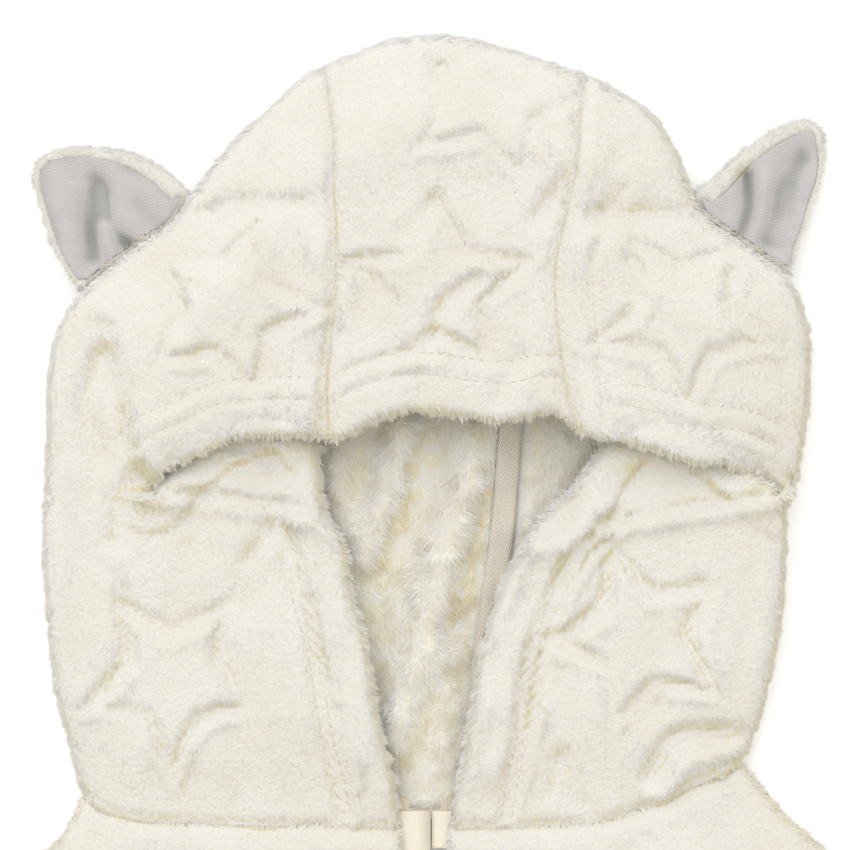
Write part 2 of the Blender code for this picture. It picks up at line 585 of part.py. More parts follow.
def hood_side(name, sign, neck, cheek, crest, seam, back_seam, back_neck, flap):
    """A side panel: its forehead part and its cheek above, and the part that lies underneath."""
    brim_ends = (cheek[-1], seam[0])
    seam, back_seam = (shifted(smooth(line), -sign * HALF_GAP) for line in (seam, back_seam))
    back_seam[-1] = seam[-1]
    # The neck lines run from the fold at the side to the front edge and to the back seam.
    neck, back_neck = (shifted(line, HALF_GAP)[::-sign] for line in (smooth(neck), back_neck))
    back_neck = moved_end(back_neck, neck[0], back_seam[0])
    cheek = moved_end(smooth(cheek), neck[-1])
    corner = cheek[-1]
    brim = moved_end(portion(BRIM_LINE, *brim_ends), corner, seam[0])
    side = nearest(CROWN, corner + (sign * 40, 0))
    low, high = portion(CROWN, neck[0], side), portion(CROWN, side, seam[-1])
    fold = np.vstack([low, high[1:]])
    join = spaced(np.array([side, corner]), EDGE_STEP)
    crest = smooth(crest, 4.0)

    hollow = inner_fold(fold, sign * CLOTH, [back_neck], [seam[::-1], back_seam[::-1]])
    inner_low, inner_high = hollow[: len(low)], hollow[len(low) - 1 :]
    inner_seam, inner_back_seam = (moved_end(line, last=hollow[-1]) for line in (seam, back_seam))
    inner_neck, inner_back_neck = (moved_end(line, hollow[0]) for line in (neck, back_neck))
    inner_join = moved_end(join, inner_low[-1])

    flap_outline = loop_of(brim, seam, high[::-1], join)
    cheek_outline = loop_of(neck, cheek, join[::-1], low[::-1])
    under_outline = loop_of(back_neck, back_seam, high[::-1], low[::-1])
    flap_stars, cheek_stars = (stars_in(outline, HOOD_STARS) for outline in (flap_outline, cheek_outline))
    crest_rows = [shifted(crest, off) for off in (-6, 1, 9)]

    def flap_height(p):
        z = flap_top(p) + star_relief(p, flap_stars) - seam_dip(p, [seam])
        return rolled(z, p, [brim], ROLL)

    def cheek_height(p):
        z = cheek_top(p, crest, corner) + star_relief(p, cheek_stars) - seam_dip(p, [neck])
        return rolled(z, p, [cheek], ROLL)

    def outer_points(outline, edge, rows, stars):
        rows = [ring_points(edge, outline, ROLL_INSETS), ring_points(fold, outline, FOLD_INSETS), *rows]
        return gathered(rows, lattice(outline, FINE, stars))

    def inner_points(outline, edge, rows):
        rows = [ring_points(hollow, outline, HOLLOW_INSETS), ring_points(edge, outline, (HEM_WIDTH,)), *rows]
        return gathered(rows, lattice(outline, MEDIUM))

    outer, shared = Shell(), keys_of(low, high, join)
    flap_points = outer_points(flap_outline, brim, held_rows(flap_rows(flap), flap_outline), flap_stars)
    cheek_points = outer_points(cheek_outline, cheek, held_rows(crest_rows, cheek_outline), cheek_stars)
    under_points = gathered([ring_points(fold, under_outline, FOLD_INSETS)])
    add_sheets(outer, [
        ("flap", flap_outline, flap_points, flap_stars, flap_height, True),
        ("cheek", cheek_outline, cheek_points, cheek_stars, cheek_height, True),
        ("under", under_outline, under_points, (), under_top, False),
    ], shared)
    edges = [("flap", brim), ("flap", seam), ("under", back_seam[::-1]), ("under", back_neck[::-1]),
             ("cheek", neck), ("cheek", cheek)]

    inner, inner_shared = Shell(), keys_of(inner_low, inner_high, inner_join)
    inner_flap = loop_of(brim, inner_seam, inner_high[::-1], inner_join)
    inner_cheek = loop_of(inner_neck, cheek, inner_join[::-1], inner_low[::-1])
    inner_under = loop_of(inner_back_neck, inner_back_seam, inner_high[::-1], inner_low[::-1])
    inner_flap_rows = held_rows(flap_rows(flap, CLOTH), inner_flap)
    add_sheets(inner, [
        ("flap", inner_flap, inner_points(inner_flap, brim, inner_flap_rows), (),
         lambda p: flap_top(p, CLOTH) - hem_extra(p, brim), False),
        ("cheek", inner_cheek, inner_points(inner_cheek, cheek, held_rows(crest_rows, inner_cheek)), (),
         lambda p: cheek_top(p, crest, corner, CLOTH) - hem_extra(p, cheek), False),
        ("under", inner_under, gathered([ring_points(hollow, inner_under, HOLLOW_INSETS)]), (),
         lambda p: under_top(p, CLOTH), True),
    ], inner_shared)
    inner_edges = [("flap", brim), ("flap", inner_seam), ("under", inner_back_seam[::-1]),
                   ("under", inner_back_neck[::-1]), ("cheek", inner_neck), ("cheek", cheek)]
    loops = [edge_loop(outer, shared, edges), edge_loop(inner, inner_shared, inner_edges)]
    return solid(name, outer, inner, [loops], PLUSH)


def hood_centre():
    """The strip from the brim over the crown and, underneath, down to the neck."""
    left, right = shifted(smooth(FRONT_SEAM_LEFT), -HALF_GAP), shifted(smooth(FRONT_SEAM_RIGHT), HALF_GAP)
    back_left, back_right = (
        shifted(smooth(line), off) for line, off in ((BACK_SEAM_LEFT, -HALF_GAP), (BACK_SEAM_RIGHT, HALF_GAP))
    )
    back_left[-1], back_right[-1] = left[-1], right[-1]
    brim = moved_end(portion(BRIM_LINE, *BRIM_CUTS), left[0], right[0])
    neck = moved_end(shifted(NECK_PARTS[1], HALF_GAP), back_left[0], back_right[0])
    fold = portion(CROWN, left[-1], right[-1])
    hollow = inner_fold(fold, -CLOTH, [left[::-1], back_left[::-1]], [right[::-1], back_right[::-1]])
    inner_left, inner_back_left = (moved_end(line, last=hollow[0]) for line in (left, back_left))
    inner_right, inner_back_right = (moved_end(line, last=hollow[-1]) for line in (right, back_right))

    front = loop_of(left, fold, right[::-1], brim[::-1])
    under = loop_of(back_left, fold, back_right[::-1], neck[::-1])
    stars = stars_in(front, HOOD_STARS)

    def front_height(p):
        z = flap_top(p) + star_relief(p, stars) - seam_dip(p, [left, right])
        return rolled(z, p, [brim], ROLL)

    outer, shared = Shell(), keys_of(fold)
    rows = [ring_points(brim, front, ROLL_INSETS), ring_points(fold, front, FOLD_INSETS)]
    add_sheets(outer, [
        ("front", front, gathered(rows, lattice(front, FINE, stars)), stars, front_height, True),
        ("under", under, gathered([ring_points(fold, under, FOLD_INSETS)]), (), under_top, False),
    ], shared)
    inner_front = loop_of(inner_left, hollow, inner_right[::-1], brim[::-1])
    inner_under = loop_of(inner_back_left, hollow, inner_back_right[::-1], neck[::-1])
    inner, inner_shared = Shell(), keys_of(hollow)
    rows = [ring_points(hollow, inner_front, HOLLOW_INSETS), ring_points(brim, inner_front, (HEM_WIDTH,))]
    add_sheets(inner, [
        ("front", inner_front, gathered(rows, lattice(inner_front, MEDIUM)), (),
         lambda p: flap_top(p, CLOTH) - hem_extra(p, brim), False),
        ("under", inner_under, gathered([ring_points(hollow, inner_under, HOLLOW_INSETS)]), (),
         lambda p: under_top(p, CLOTH), True),
    ], inner_shared)
    edges = [("front", brim[::-1]), ("front", left), ("under", back_left[::-1]), ("under", neck),
             ("under", back_right), ("front", right[::-1])]
    inner_edges = [("front", brim[::-1]), ("front", inner_left), ("under", inner_back_left[::-1]),
                   ("under", neck), ("under", inner_back_right), ("front", inner_right[::-1])]
    loops = [edge_loop(outer, shared, edges), edge_loop(inner, inner_shared, inner_edges)]
    return solid("hood_centre", outer, inner, [loops], PLUSH)


# --------------------------------------------------------------------------------- the body
def body_side(sign, neck_end):
    """Shoulder, armhole and side seam of one side, from the neck down."""
    shoulder = moved_end(smooth(SHOULDER_LEFT if sign < 0 else SHOULDER_RIGHT), neck_end)
    armhole, side = (smooth(line if sign > 0 else mirrored(line)) for line in (ARMHOLE, SIDE_SEAM))
    return shoulder, shifted(armhole, -sign * HALF_GAP), side


def joined(shoulder, armhole, side):
    """One line from the neck to the hem. The armhole's own ends stand where the lines meet."""
    return np.vstack([shoulder[:-1], armhole, side[1:]])


def back():
    neck = shifted(np.vstack([NECK_PARTS[0][:-1], NECK_PARTS[1][:-1], NECK_PARTS[2]]), -HALF_GAP)
    left, right = body_side(-1, neck[0]), body_side(1, neck[-1])
    hem = smooth(HEM)
    outline = loop_of(neck, joined(*right), hem[::-1], joined(*left)[::-1])
    folds = [left[0], left[2], right[0], right[2]]

    def bottom(p):
        turned = HEM_ROLL * (1 - quarter_round(distance(p, hem), ROLL))
        return np.maximum(EDGE_LIFT * (1 - quarter_round(near(p, folds), EDGE_RADIUS)), turned)

    def top(p):
        return rolled(CLOTH, p, [hem], HEM_ROLL)

    hem_rows = ring_points(hem, outline, ROLL_INSETS)
    fold_rows = [ring_points(line, outline, (2.0, EDGE_RADIUS)) for line in folds]
    panel("back", outline, top, bottom, PLUSH, gathered([hem_rows], lattice(outline, PLAIN)),
          gathered([hem_rows, *fold_rows]))


def front(name, sign, on_top):
    neck = shifted(smooth(FRONT_NECK_LEFT if sign < 0 else FRONT_NECK_RIGHT), -HALF_GAP)[::-sign]
    shoulder, armhole, side = body_side(sign, neck[0])
    edge = moved_end(smooth(FRONT_EDGE) * (-sign, 1), neck[-1])
    hem = portion(smooth(HEM, 1.0), edge[-1], side[-1])
    outline = loop_of(neck, edge, hem, joined(shoulder, armhole, side)[::-1])
    stars = [star for star in star_rows(outline, 0.1 if on_top else 0.4) if abs(star[0]) > STUD_CLEAR]
    folds = [shoulder, side]
    table = BODY_FOLDS if sign < 0 else [(-x, y - 14, w, l, 6 - turn, h) for x, y, w, l, turn, h in BODY_FOLDS]

    def bottom(p):
        z = CLOTH + SEAM_GAP + (LAYER_GAP - SEAM_GAP) * ramp(near(p, folds) / SEAM_SETTLE)
        overlap = ramp((OVERLAP_FADE - np.abs(p[:, 0])) / 24) * ramp((-8 - p[:, 1]) / 20)
        return z + overlap * ((CLOTH + 2 * SEAM_GAP if on_top else 0) - (LAYER_GAP - SEAM_GAP))

    def top(p):
        d = near(p, folds)
        z = bottom(p) + EDGE_THICK + (CLOTH - EDGE_THICK) * quarter_round(d, EDGE_RADIUS)
        z += star_relief(p, stars) + folds_height(p, table) * ramp(d / 30)
        return rolled(z - 0.8 * seam_dip(p, [armhole, neck]), p, [edge, hem], HEM_ROLL)

    edge_rows = [ring_points(line, outline, ROLL_INSETS) for line in (edge, hem)]
    fold_rows = [ring_points(line, outline, (2.0, EDGE_RADIUS)) for line in folds]
    settle_rows = [ring_points(line, outline, (SEAM_SETTLE,)) for line in folds]
    lap_rows = [spaced(np.array([(x, -12.0), (x, -430.0)]), MEDIUM) for x in (sign * 18.0, sign * 44.0)]
    settle_rows += held_rows(lap_rows, outline)
    panel(name, outline, top, bottom, PLUSH,
          gathered([*edge_rows, *fold_rows], lattice(outline, MEDIUM, stars)),
          gathered(settle_rows, lattice(outline, PLAIN), 12.0),
          [ring for star in stars for ring in star_rings(star)])


def sleeve(name, sign):
    """A flat tube, folded along its top and under the arm, open at the armhole and at the cuff."""
    armhole, over, under, cuff = (
        smooth(line if sign > 0 else mirrored(line)) for line in (ARMHOLE, SLEEVE_TOP, SLEEVE_UNDER, CUFF)
    )
    armhole = shifted(armhole, sign * HALF_GAP)
    over, under = moved_end(over, armhole[0], cuff[-1]), moved_end(under, armhole[-1], cuff[0])
    inner_over = inner_fold(over, -sign * CLOTH, [armhole], [cuff[::-1]])
    inner_under = inner_fold(under, sign * CLOTH, [armhole[::-1]], [cuff])
    inner_armhole = moved_end(armhole, inner_over[0], inner_under[0])
    inner_cuff = moved_end(cuff, inner_under[-1], inner_over[-1])
    outline = loop_of(over, cuff[::-1], under[::-1], armhole[::-1])
    hollow = loop_of(inner_over, inner_cuff[::-1], inner_under[::-1], inner_armhole[::-1])
    stars = star_rows(outline, 0.3 if sign < 0 else 0.1)
    table = [(sign * x, y, w, l, sign * turn, h) for x, y, w, l, turn, h in SLEEVE_FOLDS]

    def top(p):
        d = near(p, (over, under))
        z = BODY_MID + (BODY_TOP - BODY_MID) * quarter_round(d, FOLD_RADIUS)
        z += star_relief(p, stars) + folds_height(p, table) * ramp(d / 25)
        edge = (seam_dip(p, [armhole]) * 0.8 + HEM_ROLL * (1 - quarter_round(distance(p, cuff), ROLL)))
        return z - edge * ramp(d / 12)

    def bottom(p):
        return BODY_MID * (1 - quarter_round(near(p, (over, under)), FOLD_RADIUS))

    def hollow_face(p, wall):
        s = quarter_round(near(p, (inner_over, inner_under)), LAYER_GAP)
        return BODY_MID + (LAYER_GAP / 2) * s * wall

    rows = [ring_points(line, outline, FOLD_INSETS) for line in (over, under)]
    cuff_rows = ring_points(cuff, outline, ROLL_INSETS)
    outer, shared = Shell(), keys_of(over, under)
    add_sheets(outer, [
        ("upper", outline, gathered([cuff_rows, *rows], lattice(outline, MEDIUM, stars)), stars, top, True),
        ("lower", outline, gathered(rows), (), bottom, False),
    ], shared)
    inner, inner_shared = Shell(), keys_of(inner_over, inner_under)
    rows = [ring_points(line, hollow, (LAYER_GAP,)) for line in (inner_over, inner_under)]
    add_sheets(inner, [
        ("upper", hollow, gathered(rows), (), lambda p: hollow_face(p, 1), False),
        ("lower", hollow, gathered(rows), (), lambda p: hollow_face(p, -1), True),
    ], inner_shared)
    loops = [
        (edge_loop(outer, shared, [("upper", line), ("lower", line[::-1])]),
         edge_loop(inner, inner_shared, [("upper", inner_line), ("lower", inner_line[::-1])]))
        for line, inner_line in ((armhole, inner_armhole), (cuff, inner_cuff))
    ]
    return solid(name, outer, inner, loops, PLUSH)


# --------------------------------------------------------------------------------- the ears
def ear(side, sign, table, folds):
    """A plush shell, and on it a twill lining inside a soft rim, made from the shell's points."""
    rim = smooth(table, 5.0)
    seat = portion(CROWN, nearest(CROWN, rim[0]), nearest(CROWN, rim[-1]), 5.0)
    seat = shifted(seat, -sign * EAR_GAP)
    rim = moved_end(rim, seat[0], seat[-1])
    outline = loop_of(rim, seat[::-1])

    def lower_face(p):
        d = distance(p, seat)
        return np.maximum(EAR_HEIGHT - EAR_SLOPE * d + folds_height(p, folds) * ramp(d / 8), SEAM_GAP)

    def shell_top(p):
        puff = EAR_RIM_RISE * ramp((EAR_RIM_WIDTH - distance(p, rim)) / 2.5)
        return rolled(lower_face(p) + EAR_SHELL + puff, p, [rim], HEM_ROLL)

    lining_rim = shifted(rim, sign * EAR_RIM_WIDTH)
    lining_rim = lining_rim[distance(lining_rim, seat) > 2.5]
    lining_seat = shifted(seat, -sign * 1.5)
    lining_seat = lining_seat[distance(lining_seat, rim) > EAR_RIM_WIDTH]
    lining = np.vstack([lining_rim, lining_seat[::-1]])
    points = gathered([lattice(lining, 7.0)])
    rim_rows = [ring_points(rim, outline, (1.2,))]
    panel("ear_" + side, outline, shell_top, lower_face, PLUSH, gathered([*rim_rows, points]), points, [lining])

    def lining_face(p):
        return lower_face(p) + EAR_SHELL + SEAM_GAP

    panel("ear_lining_" + side, lining, lambda p: lining_face(p) + EAR_LINING, lining_face, TWILL, points, points)


# ------------------------------------------------------------------------ tapes, labels, studs
def strip(name, line, width, base, thickness, material):
    """A flat tape along a line."""
    outline = np.vstack([shifted(line, width / 2), shifted(line, -width / 2)[::-1]])
    flat(name, outline, base, thickness, material)


def flat(name, outline, base, thickness, material):
    level = lambda z: lambda p: np.full(len(p), z)
    none = np.empty((0, 2))
    panel(name, outline, level(base + thickness), level(base), material, none, none)


def tapes_and_labels():
    base = CLOTH + SEAM_GAP
    seam = smooth(BACK_SEAM_RIGHT)
    seam = seam[(seam[:, 1] > 16) & (seam[:, 1] < 176)]
    strip("hood_seam_tape", seam, HOOD_TAPE_WIDTH, base, TAPE_THICK, TAPE)
    strip("neck_tape", np.array([(-100.0, 6.6), (-50, 6.8), (0, 6.8), (50, 7.2), (78, 8.4)]), 9.5, base, TAPE_THICK,
          TAPE)
    base += TAPE_THICK + SEAM_GAP
    for name, left, right, low in (("neck_label", -36, 2.1, -12), ("size_tab", 2.7, 17, -8)):
        corners = np.array([(left, low), (right, low), (right, 6.2), (left, 6.2)], float)
        flat(name, corners, base, LABEL_THICK, SATIN)


def stud(number):
    """A cap that is turned from a profile, pressed through the front that lies on top."""
    profile = [(0, 1), (0.62, 0.96), (0.9, 0.72), (1, 0.36), (0.97, 0), (0, 0)]
    points = [(r * STUD_RADIUS * MM, 0, h * STUD_HEIGHT * MM) for r, h in profile]
    mesh = bpy.data.meshes.new("stud")
    mesh.from_pydata(points, [(i, i + 1) for i in range(len(points) - 1)], [])
    mesh.materials.append(STUD)
    obj = bpy.data.objects.new(f"stud_{number}", mesh)
    turn = obj.modifiers.new("turned", "SCREW")
    turn.steps = turn.render_steps = STUD_STEPS
    turn.use_merge_vertices = True
    turn.merge_threshold = 1e-5
    turn.use_normal_calculate = True
    level = 2 * CLOTH + 3 * SEAM_GAP + CLOTH + SEAM_GAP
    obj.location = (0, (STUD_FIRST + STUD_PITCH * (number - 1)) * MM, level * MM)
    GARMENT.objects.link(obj)


hood_side("hood_side_left", -1, FRONT_NECK_LEFT, CHEEK_EDGE_LEFT, CHEEK_CREST_LEFT, FRONT_SEAM_LEFT,
          BACK_SEAM_LEFT, NECK_PARTS[0], FLAP_LEFT)
hood_side("hood_side_right", 1, FRONT_NECK_RIGHT, CHEEK_EDGE_RIGHT, CHEEK_CREST_RIGHT, FRONT_SEAM_RIGHT,
          BACK_SEAM_RIGHT, NECK_PARTS[2], FLAP_RIGHT)
hood_centre()
back()
front("front_left", -1, True)
front("front_right", 1, False)
sleeve("sleeve_left", -1)
sleeve("sleeve_right", 1)
ear("left", -1, EAR_LEFT, EAR_LEFT_FOLDS)
ear("right", 1, EAR_RIGHT, EAR_RIGHT_FOLDS)
tapes_and_labels()
for stud_number in range(1, STUD_COUNT + 1):
    stud(stud_number)
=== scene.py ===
"""The looks of a child's hooded sherpa jacket with two cat ears, which lies on its back.

Metres in the scene. The garment's own tables and sizes are in millimetres, in the frame that the
solids have: +Y runs from the neck seam to the top of the hood, +X to the right of the picture,
and Z is height above the surface. Each cloth piece is a closed wall on its solid's form, with a
finer surface, and the pile that grows on it is a mesh of small tapered blades.
"""

import json
import math

import bmesh
import bpy
import numpy as np
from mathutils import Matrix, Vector
from mathutils.geometry import delaunay_2d_cdt

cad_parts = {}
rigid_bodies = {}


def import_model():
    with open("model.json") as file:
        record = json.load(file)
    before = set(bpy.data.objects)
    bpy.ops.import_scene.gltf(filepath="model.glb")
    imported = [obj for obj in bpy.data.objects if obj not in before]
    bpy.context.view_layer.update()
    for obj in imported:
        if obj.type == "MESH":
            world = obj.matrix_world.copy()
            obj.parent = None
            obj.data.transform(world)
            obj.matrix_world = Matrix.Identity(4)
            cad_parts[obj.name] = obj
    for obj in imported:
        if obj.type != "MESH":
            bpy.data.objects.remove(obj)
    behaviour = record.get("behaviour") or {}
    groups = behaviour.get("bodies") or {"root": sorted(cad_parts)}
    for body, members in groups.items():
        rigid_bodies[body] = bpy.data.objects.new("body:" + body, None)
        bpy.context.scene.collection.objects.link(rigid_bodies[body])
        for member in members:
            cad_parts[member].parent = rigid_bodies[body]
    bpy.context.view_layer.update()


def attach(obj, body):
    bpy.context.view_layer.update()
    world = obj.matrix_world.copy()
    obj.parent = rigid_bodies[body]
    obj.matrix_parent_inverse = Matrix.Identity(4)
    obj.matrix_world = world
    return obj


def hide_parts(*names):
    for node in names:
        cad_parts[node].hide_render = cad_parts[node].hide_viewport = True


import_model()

MM = 0.001
BODY = "root"

# ---------------------------------------------------------------- driving dimensions (mm)
CLOTH = 5.0  # plush outside, knitted ground and long pile inside, as one wall
SEAM_GAP = 0.3  # between two pieces that are sewn together
HALF_GAP = SEAM_GAP / 2
LAYER_GAP = 3.4  # air between the fronts and the back
HEM_EXTRA = 2.0  # what the turned hem adds under the wall
HEM_WIDTH = 22.0
BODY_TOP = 2 * CLOTH + LAYER_GAP
BODY_MID = BODY_TOP / 2
HOOD_TOP = 21.0  # the hood's upper face where nothing else lifts it
HOOD_MID = 10.5
HOOD_RISE_LENGTH = 45.0  # over this the hood rises from the neck seam to its own height
FOLD_RADIUS = 9.5
FLAP_RISE = 13.0  # the forehead part lies this much above the cheeks
FLAP_STEP = 11.0  # width of the step at its sides
FLAP_FADE = 38.0  # width over which it comes down to the crown's fold
LIP_RIDGE = 4.0  # the cheeks' upper edge swells by this
LIP_DROP = 0.6  # and then dips by this under the brim
LIP_WIDTH = 6.5
BRIM_DROOP, DROOP_REACH = 3.2, 32.0  # the brim's outer corners hang down by this, over this far
LIP_DIP_WIDTH = 15.0
ROLL = 3.0  # how far a turned edge rounds off
HEM_ROLL = 1.5  # the same on the body, whose hems are thinner
EDGE_RADIUS = 8.0  # of the body's edge, along the shoulder and the side seam
EDGE_LIFT = 3.0  # the back's outer face comes up to its seam by this
EDGE_THICK = 2.0  # a panel's thickness right at those seams
SEAM_SETTLE = 22.0  # over this the fronts come down to the back at those seams
OVERLAP_FADE = 46.0  # the fronts are level again this far from the middle
STUD_CLEAR = 44.0  # no star comes nearer the middle than this
SEAM_DIP = 1.6  # a sewn seam pulls the plush in by this
SEAM_DIP_WIDTH = 5.5
STITCH_ROWS = (14.0, 22.0)  # the hem's two lines of stitching, from its edge
CHEEK_ROWS = (18.5, 22.5)  # the same beside the face opening
BRIM_PUFF, CHEEK_PUFF, SEAM_PUFF = 0.6, 2.8, 1.5  # how far the bands beside the stitching swell
SEAM_STITCH = 14.0  # the line of stitching beside the centre strip's seams
STITCH_LENGTH, STITCH_PITCH, STITCH_THICK = 2.7, 3.7, 0.4
STITCH_DIP, STITCH_DIP_WIDTH = 0.7, 1.6

STAR_TIP, STAR_NOTCH = 33.0, 17.5  # radii of an embossed star
STAR_POINTS = 5
STAR_PUFF, STAR_PUFF_WIDTH = 1.0, 7.0
BODY_STARS = 0.8  # the body's relief against the hood's
STAR_GROOVE, STAR_GROOVE_WIDTH = 1.6, 2.3
STAR_MARGIN = 1.5
STAR_PITCH = (86.0, 74.0)  # across and along, on the body and the sleeves

PLUSH_SINK = 1.0  # the cloth's ground lies this far under the pile's surface
EAR_GAP = 0.2  # between an ear and the fold that it stands in
EAR_SHELL = 4.0
EAR_LINING = 0.8
EAR_HEIGHT = 7.0  # of its lower face where it is sewn in
EAR_SLOPE = 0.09
EAR_RIM_SHARES = (0.0, 0.35, 0.6, 1.0)  # along the rim, from its outer to its inner end
EAR_RIM_WIDTHS = {"left": (1.8, 2.4, 4.2, 7.5), "right": (1.2, 1.8, 4.8, 8.0)}
EAR_RIM_RISE = 1.2
TAPE_THICK = 0.8
HOOD_TAPE_WIDTH = 9.0
LABEL_THICK = 0.6
STUD_RADIUS = 6.0
STUD_HEIGHT = 2.2
STUD_FIRST, STUD_PITCH, STUD_COUNT = -84.0, -82.0, 5

HOOD_STEP, FLOOR_STEP, BODY_STEP, EAR_STEP = 2.1, 3.5, 4.2, 2.2  # spacing of the points inside a sheet
PLAIN = 40.0
EDGE_STEP = 3.6  # spacing of the points along an outline
ROLL_INSETS = (1.2, 3.2)  # rows of points that round a free edge
FOLD_INSETS = (1.0, 2.6, 5.0, FOLD_RADIUS)  # the same along a fold, outside
HOLLOW_INSETS = (1.2, 4.5)  # and inside
LINING_STEP = 1.2  # spacing of the points inside an ear's lining
# Blades for each square millimetre.
HOOD_DENSITY, SHERPA_DENSITY, BODY_DENSITY, EAR_DENSITY = 5.6, 9.0, 0.8, 7.0
TAPE_LIFT = 1.6  # of the herringbone tape above the lining's ground, so that the pile doesn't bury it
PICTURE_END = -16.0  # the finer pile goes down to this y

FRAME_WIDTH = 318.75  # what the picture's width and height show at the hood's top
FRAME_MIDDLE = 151.875  # y at the picture's middle
CAMERA_HEIGHT = 2000.0
FLOOR_GLOW = 0.16  # the paper is lit from below a little, which thins the shadows
SKY_STRENGTH = 0.63
SKY_TINT, KEY_TINT = (1.0, 0.96, 0.84), (0.98, 1.0, 1.08)
KEY_LIGHTS = [  # name, rotation (degrees), strength, angular size (degrees)
    ("window", (-38, -17, 0), 0.70, 55),
    ("softbox", (-12, -4, 0), 1.15, 80),
]

# ------------------------------------------------------------------- outlines, x and y (mm)
HOOD_OUTLINE = [  # from the left end of the neck seam, over the crown, to its right end
    (-129.5, 11.5), (-135, 32), (-140.5, 56), (-143.5, 86), (-144.5, 112), (-143.5, 139),
    (-143, 161), (-141.5, 180), (-137, 192), (-129.5, 202), (-120, 211), (-107, 220.5),
    (-96, 228), (-88, 240), (-79, 252), (-69.5, 262.5), (-59, 272), (-48, 282), (-38.5, 287.5),
    (-27.5, 292), (-15, 297), (2, 299.5), (17, 298), (35.5, 293), (50.5, 288), (61, 284.5),
    (73, 278.5), (84.5, 271), (92.5, 260.5), (98, 249.5), (101, 240), (105, 231.5),
    (116, 223.5), (127.5, 215.5), (137, 208), (142, 199), (145, 186), (145.5, 169),
    (144, 150), (141, 134), (137.5, 124), (136.5, 101), (134.5, 79), (131.5, 60),
    (127.5, 43), (122.5, 30), (119.5, 24),
]
FRONT_SEAM_LEFT = [  # centre strip to left side, from the brim up to the crown's fold
    (-35.5, 146), (-36.5, 165), (-34.5, 184), (-33, 203), (-32.5, 222), (-34, 240),
    (-33.5, 255), (-35, 268.5), (-36.5, 279), (-38.5, 287.5),
]
FRONT_SEAM_RIGHT = [
    (56, 150), (52.5, 167), (50, 184), (48.5, 199), (49, 214), (52, 227), (55, 240),
    (57.5, 255), (58.5, 270), (61, 284.5),
]
BACK_SEAM_LEFT = [  # the same strip, underneath, from the neck up to the crown's fold
    (-50, 7), (-60, 60), (-63, 110), (-61, 160), (-56, 210), (-46, 255), (-38.5, 287.5),
]
BACK_SEAM_RIGHT = [
    (16, 7), (22, 60), (29, 110), (33.5, 160), (40, 210), (51, 255), (61, 284.5),
]
FRONT_NECK_LEFT = [(-129.5, 11.5), (-117, 4.5), (-100, 1.5), (-75, 0.5), (-37, 0), (-9.5, -1)]
FRONT_NECK_RIGHT = [(9.5, -1), (21, -0.5), (50, 0), (69, 2), (88, 8.5), (103, 15.5), (119.5, 24)]
BACK_NECK = [
    (-129.5, 11.5), (-112, 8), (-80, 7), (-50, 7), (-16, 7), (16, 7), (50, 8), (85, 12), (119.5, 24),
]
BRIM = [  # the forehead edge, from the left corner of the face opening to the right one
    (-102.5, 128), (-97.5, 135), (-84.5, 140.5), (-73, 146.5), (-62, 147.5), (-47, 148),
    (-35.5, 146), (-28, 148.5), (-17, 154.5), (-2, 157), (20.5, 154), (35.5, 154), (47, 156.5),
    (56, 150), (62, 147.5), (80.5, 144), (103, 137), (113, 137), (122, 133), (133, 127.5),
]
CHEEK_EDGE_LEFT = [  # the face opening's left edge, from the neck to under the brim's corner
    (-9.5, -1), (-10.5, 11), (-13, 24.5), (-16.5, 37.5), (-19, 52.5), (-21.5, 67.5), (-24.5, 80.5),
    (-28, 92), (-29, 101), (-31, 109), (-37.5, 121), (-39, 133), (-41, 148), (-52, 156.5), (-68, 156),
    (-82, 149), (-94, 139.5), (-102.5, 128),
]
CHEEK_EDGE_RIGHT = [
    (9.5, -1), (11.5, 15), (16, 37), (20.5, 67.5), (29.5, 93.5), (42.5, 116), (54, 126.5),
    (62, 137.5), (69.5, 148), (81, 155), (98, 153), (116, 143), (126, 135), (133, 127.5),
]
CHEEK_CREST_LEFT = [(-102.5, 129), (-84, 132.5), (-69, 130), (-54, 124), (-43, 118), (-30, 112)]
CHEEK_CREST_RIGHT = [(36, 112), (50, 110), (62, 116), (73, 119.5), (84, 121.5), (100, 124), (118, 126), (133, 128)]
FLAP_LEFT = [(-102.5, 126), (-108, 131), (-114, 140), (-117, 150), (-119, 170), (-125, 190), (-140, 205)]
FLAP_RIGHT = [(133, 126), (139, 131), (141.5, 150), (142.5, 175), (144, 205)]

SHOULDER_LEFT = [(-129.5, 11.5), (-133, 4), (-140, -7), (-151, -15), (-165, -21), (-180, -26.5)]
SHOULDER_RIGHT = [(119.5, 24), (128, 14), (138, 3), (148, -6), (163, -17), (180, -26.5)]
ARMHOLE = [(180, -26.5), (174, -60), (172, -95), (175, -130), (184, -162), (200, -190)]
SIDE_SEAM = [(200, -190), (200, -250), (201, -340), (204, -440)]
HEM = [(-204, -440), (-100, -444), (0, -445), (100, -444), (204, -440)]
FRONT_EDGE = [  # of the front that lies on top; the one below mirrors it
    (-9.5, -1), (-9.2, -9), (-6, -25), (2, -48), (9, -75), (11, -105), (11, -300), (11, -444),
]
SLEEVE_TOP = [
    (180, -26.5), (215, -43), (255, -78), (296, -123), (331, -168), (361, -211), (388, -250), (411, -283),
]
SLEEVE_UNDER = [(200, -190), (226, -224), (264, -267), (302, -309), (338, -349)]
CUFF = [(338, -349), (362, -327.5), (387, -305), (411, -283)]

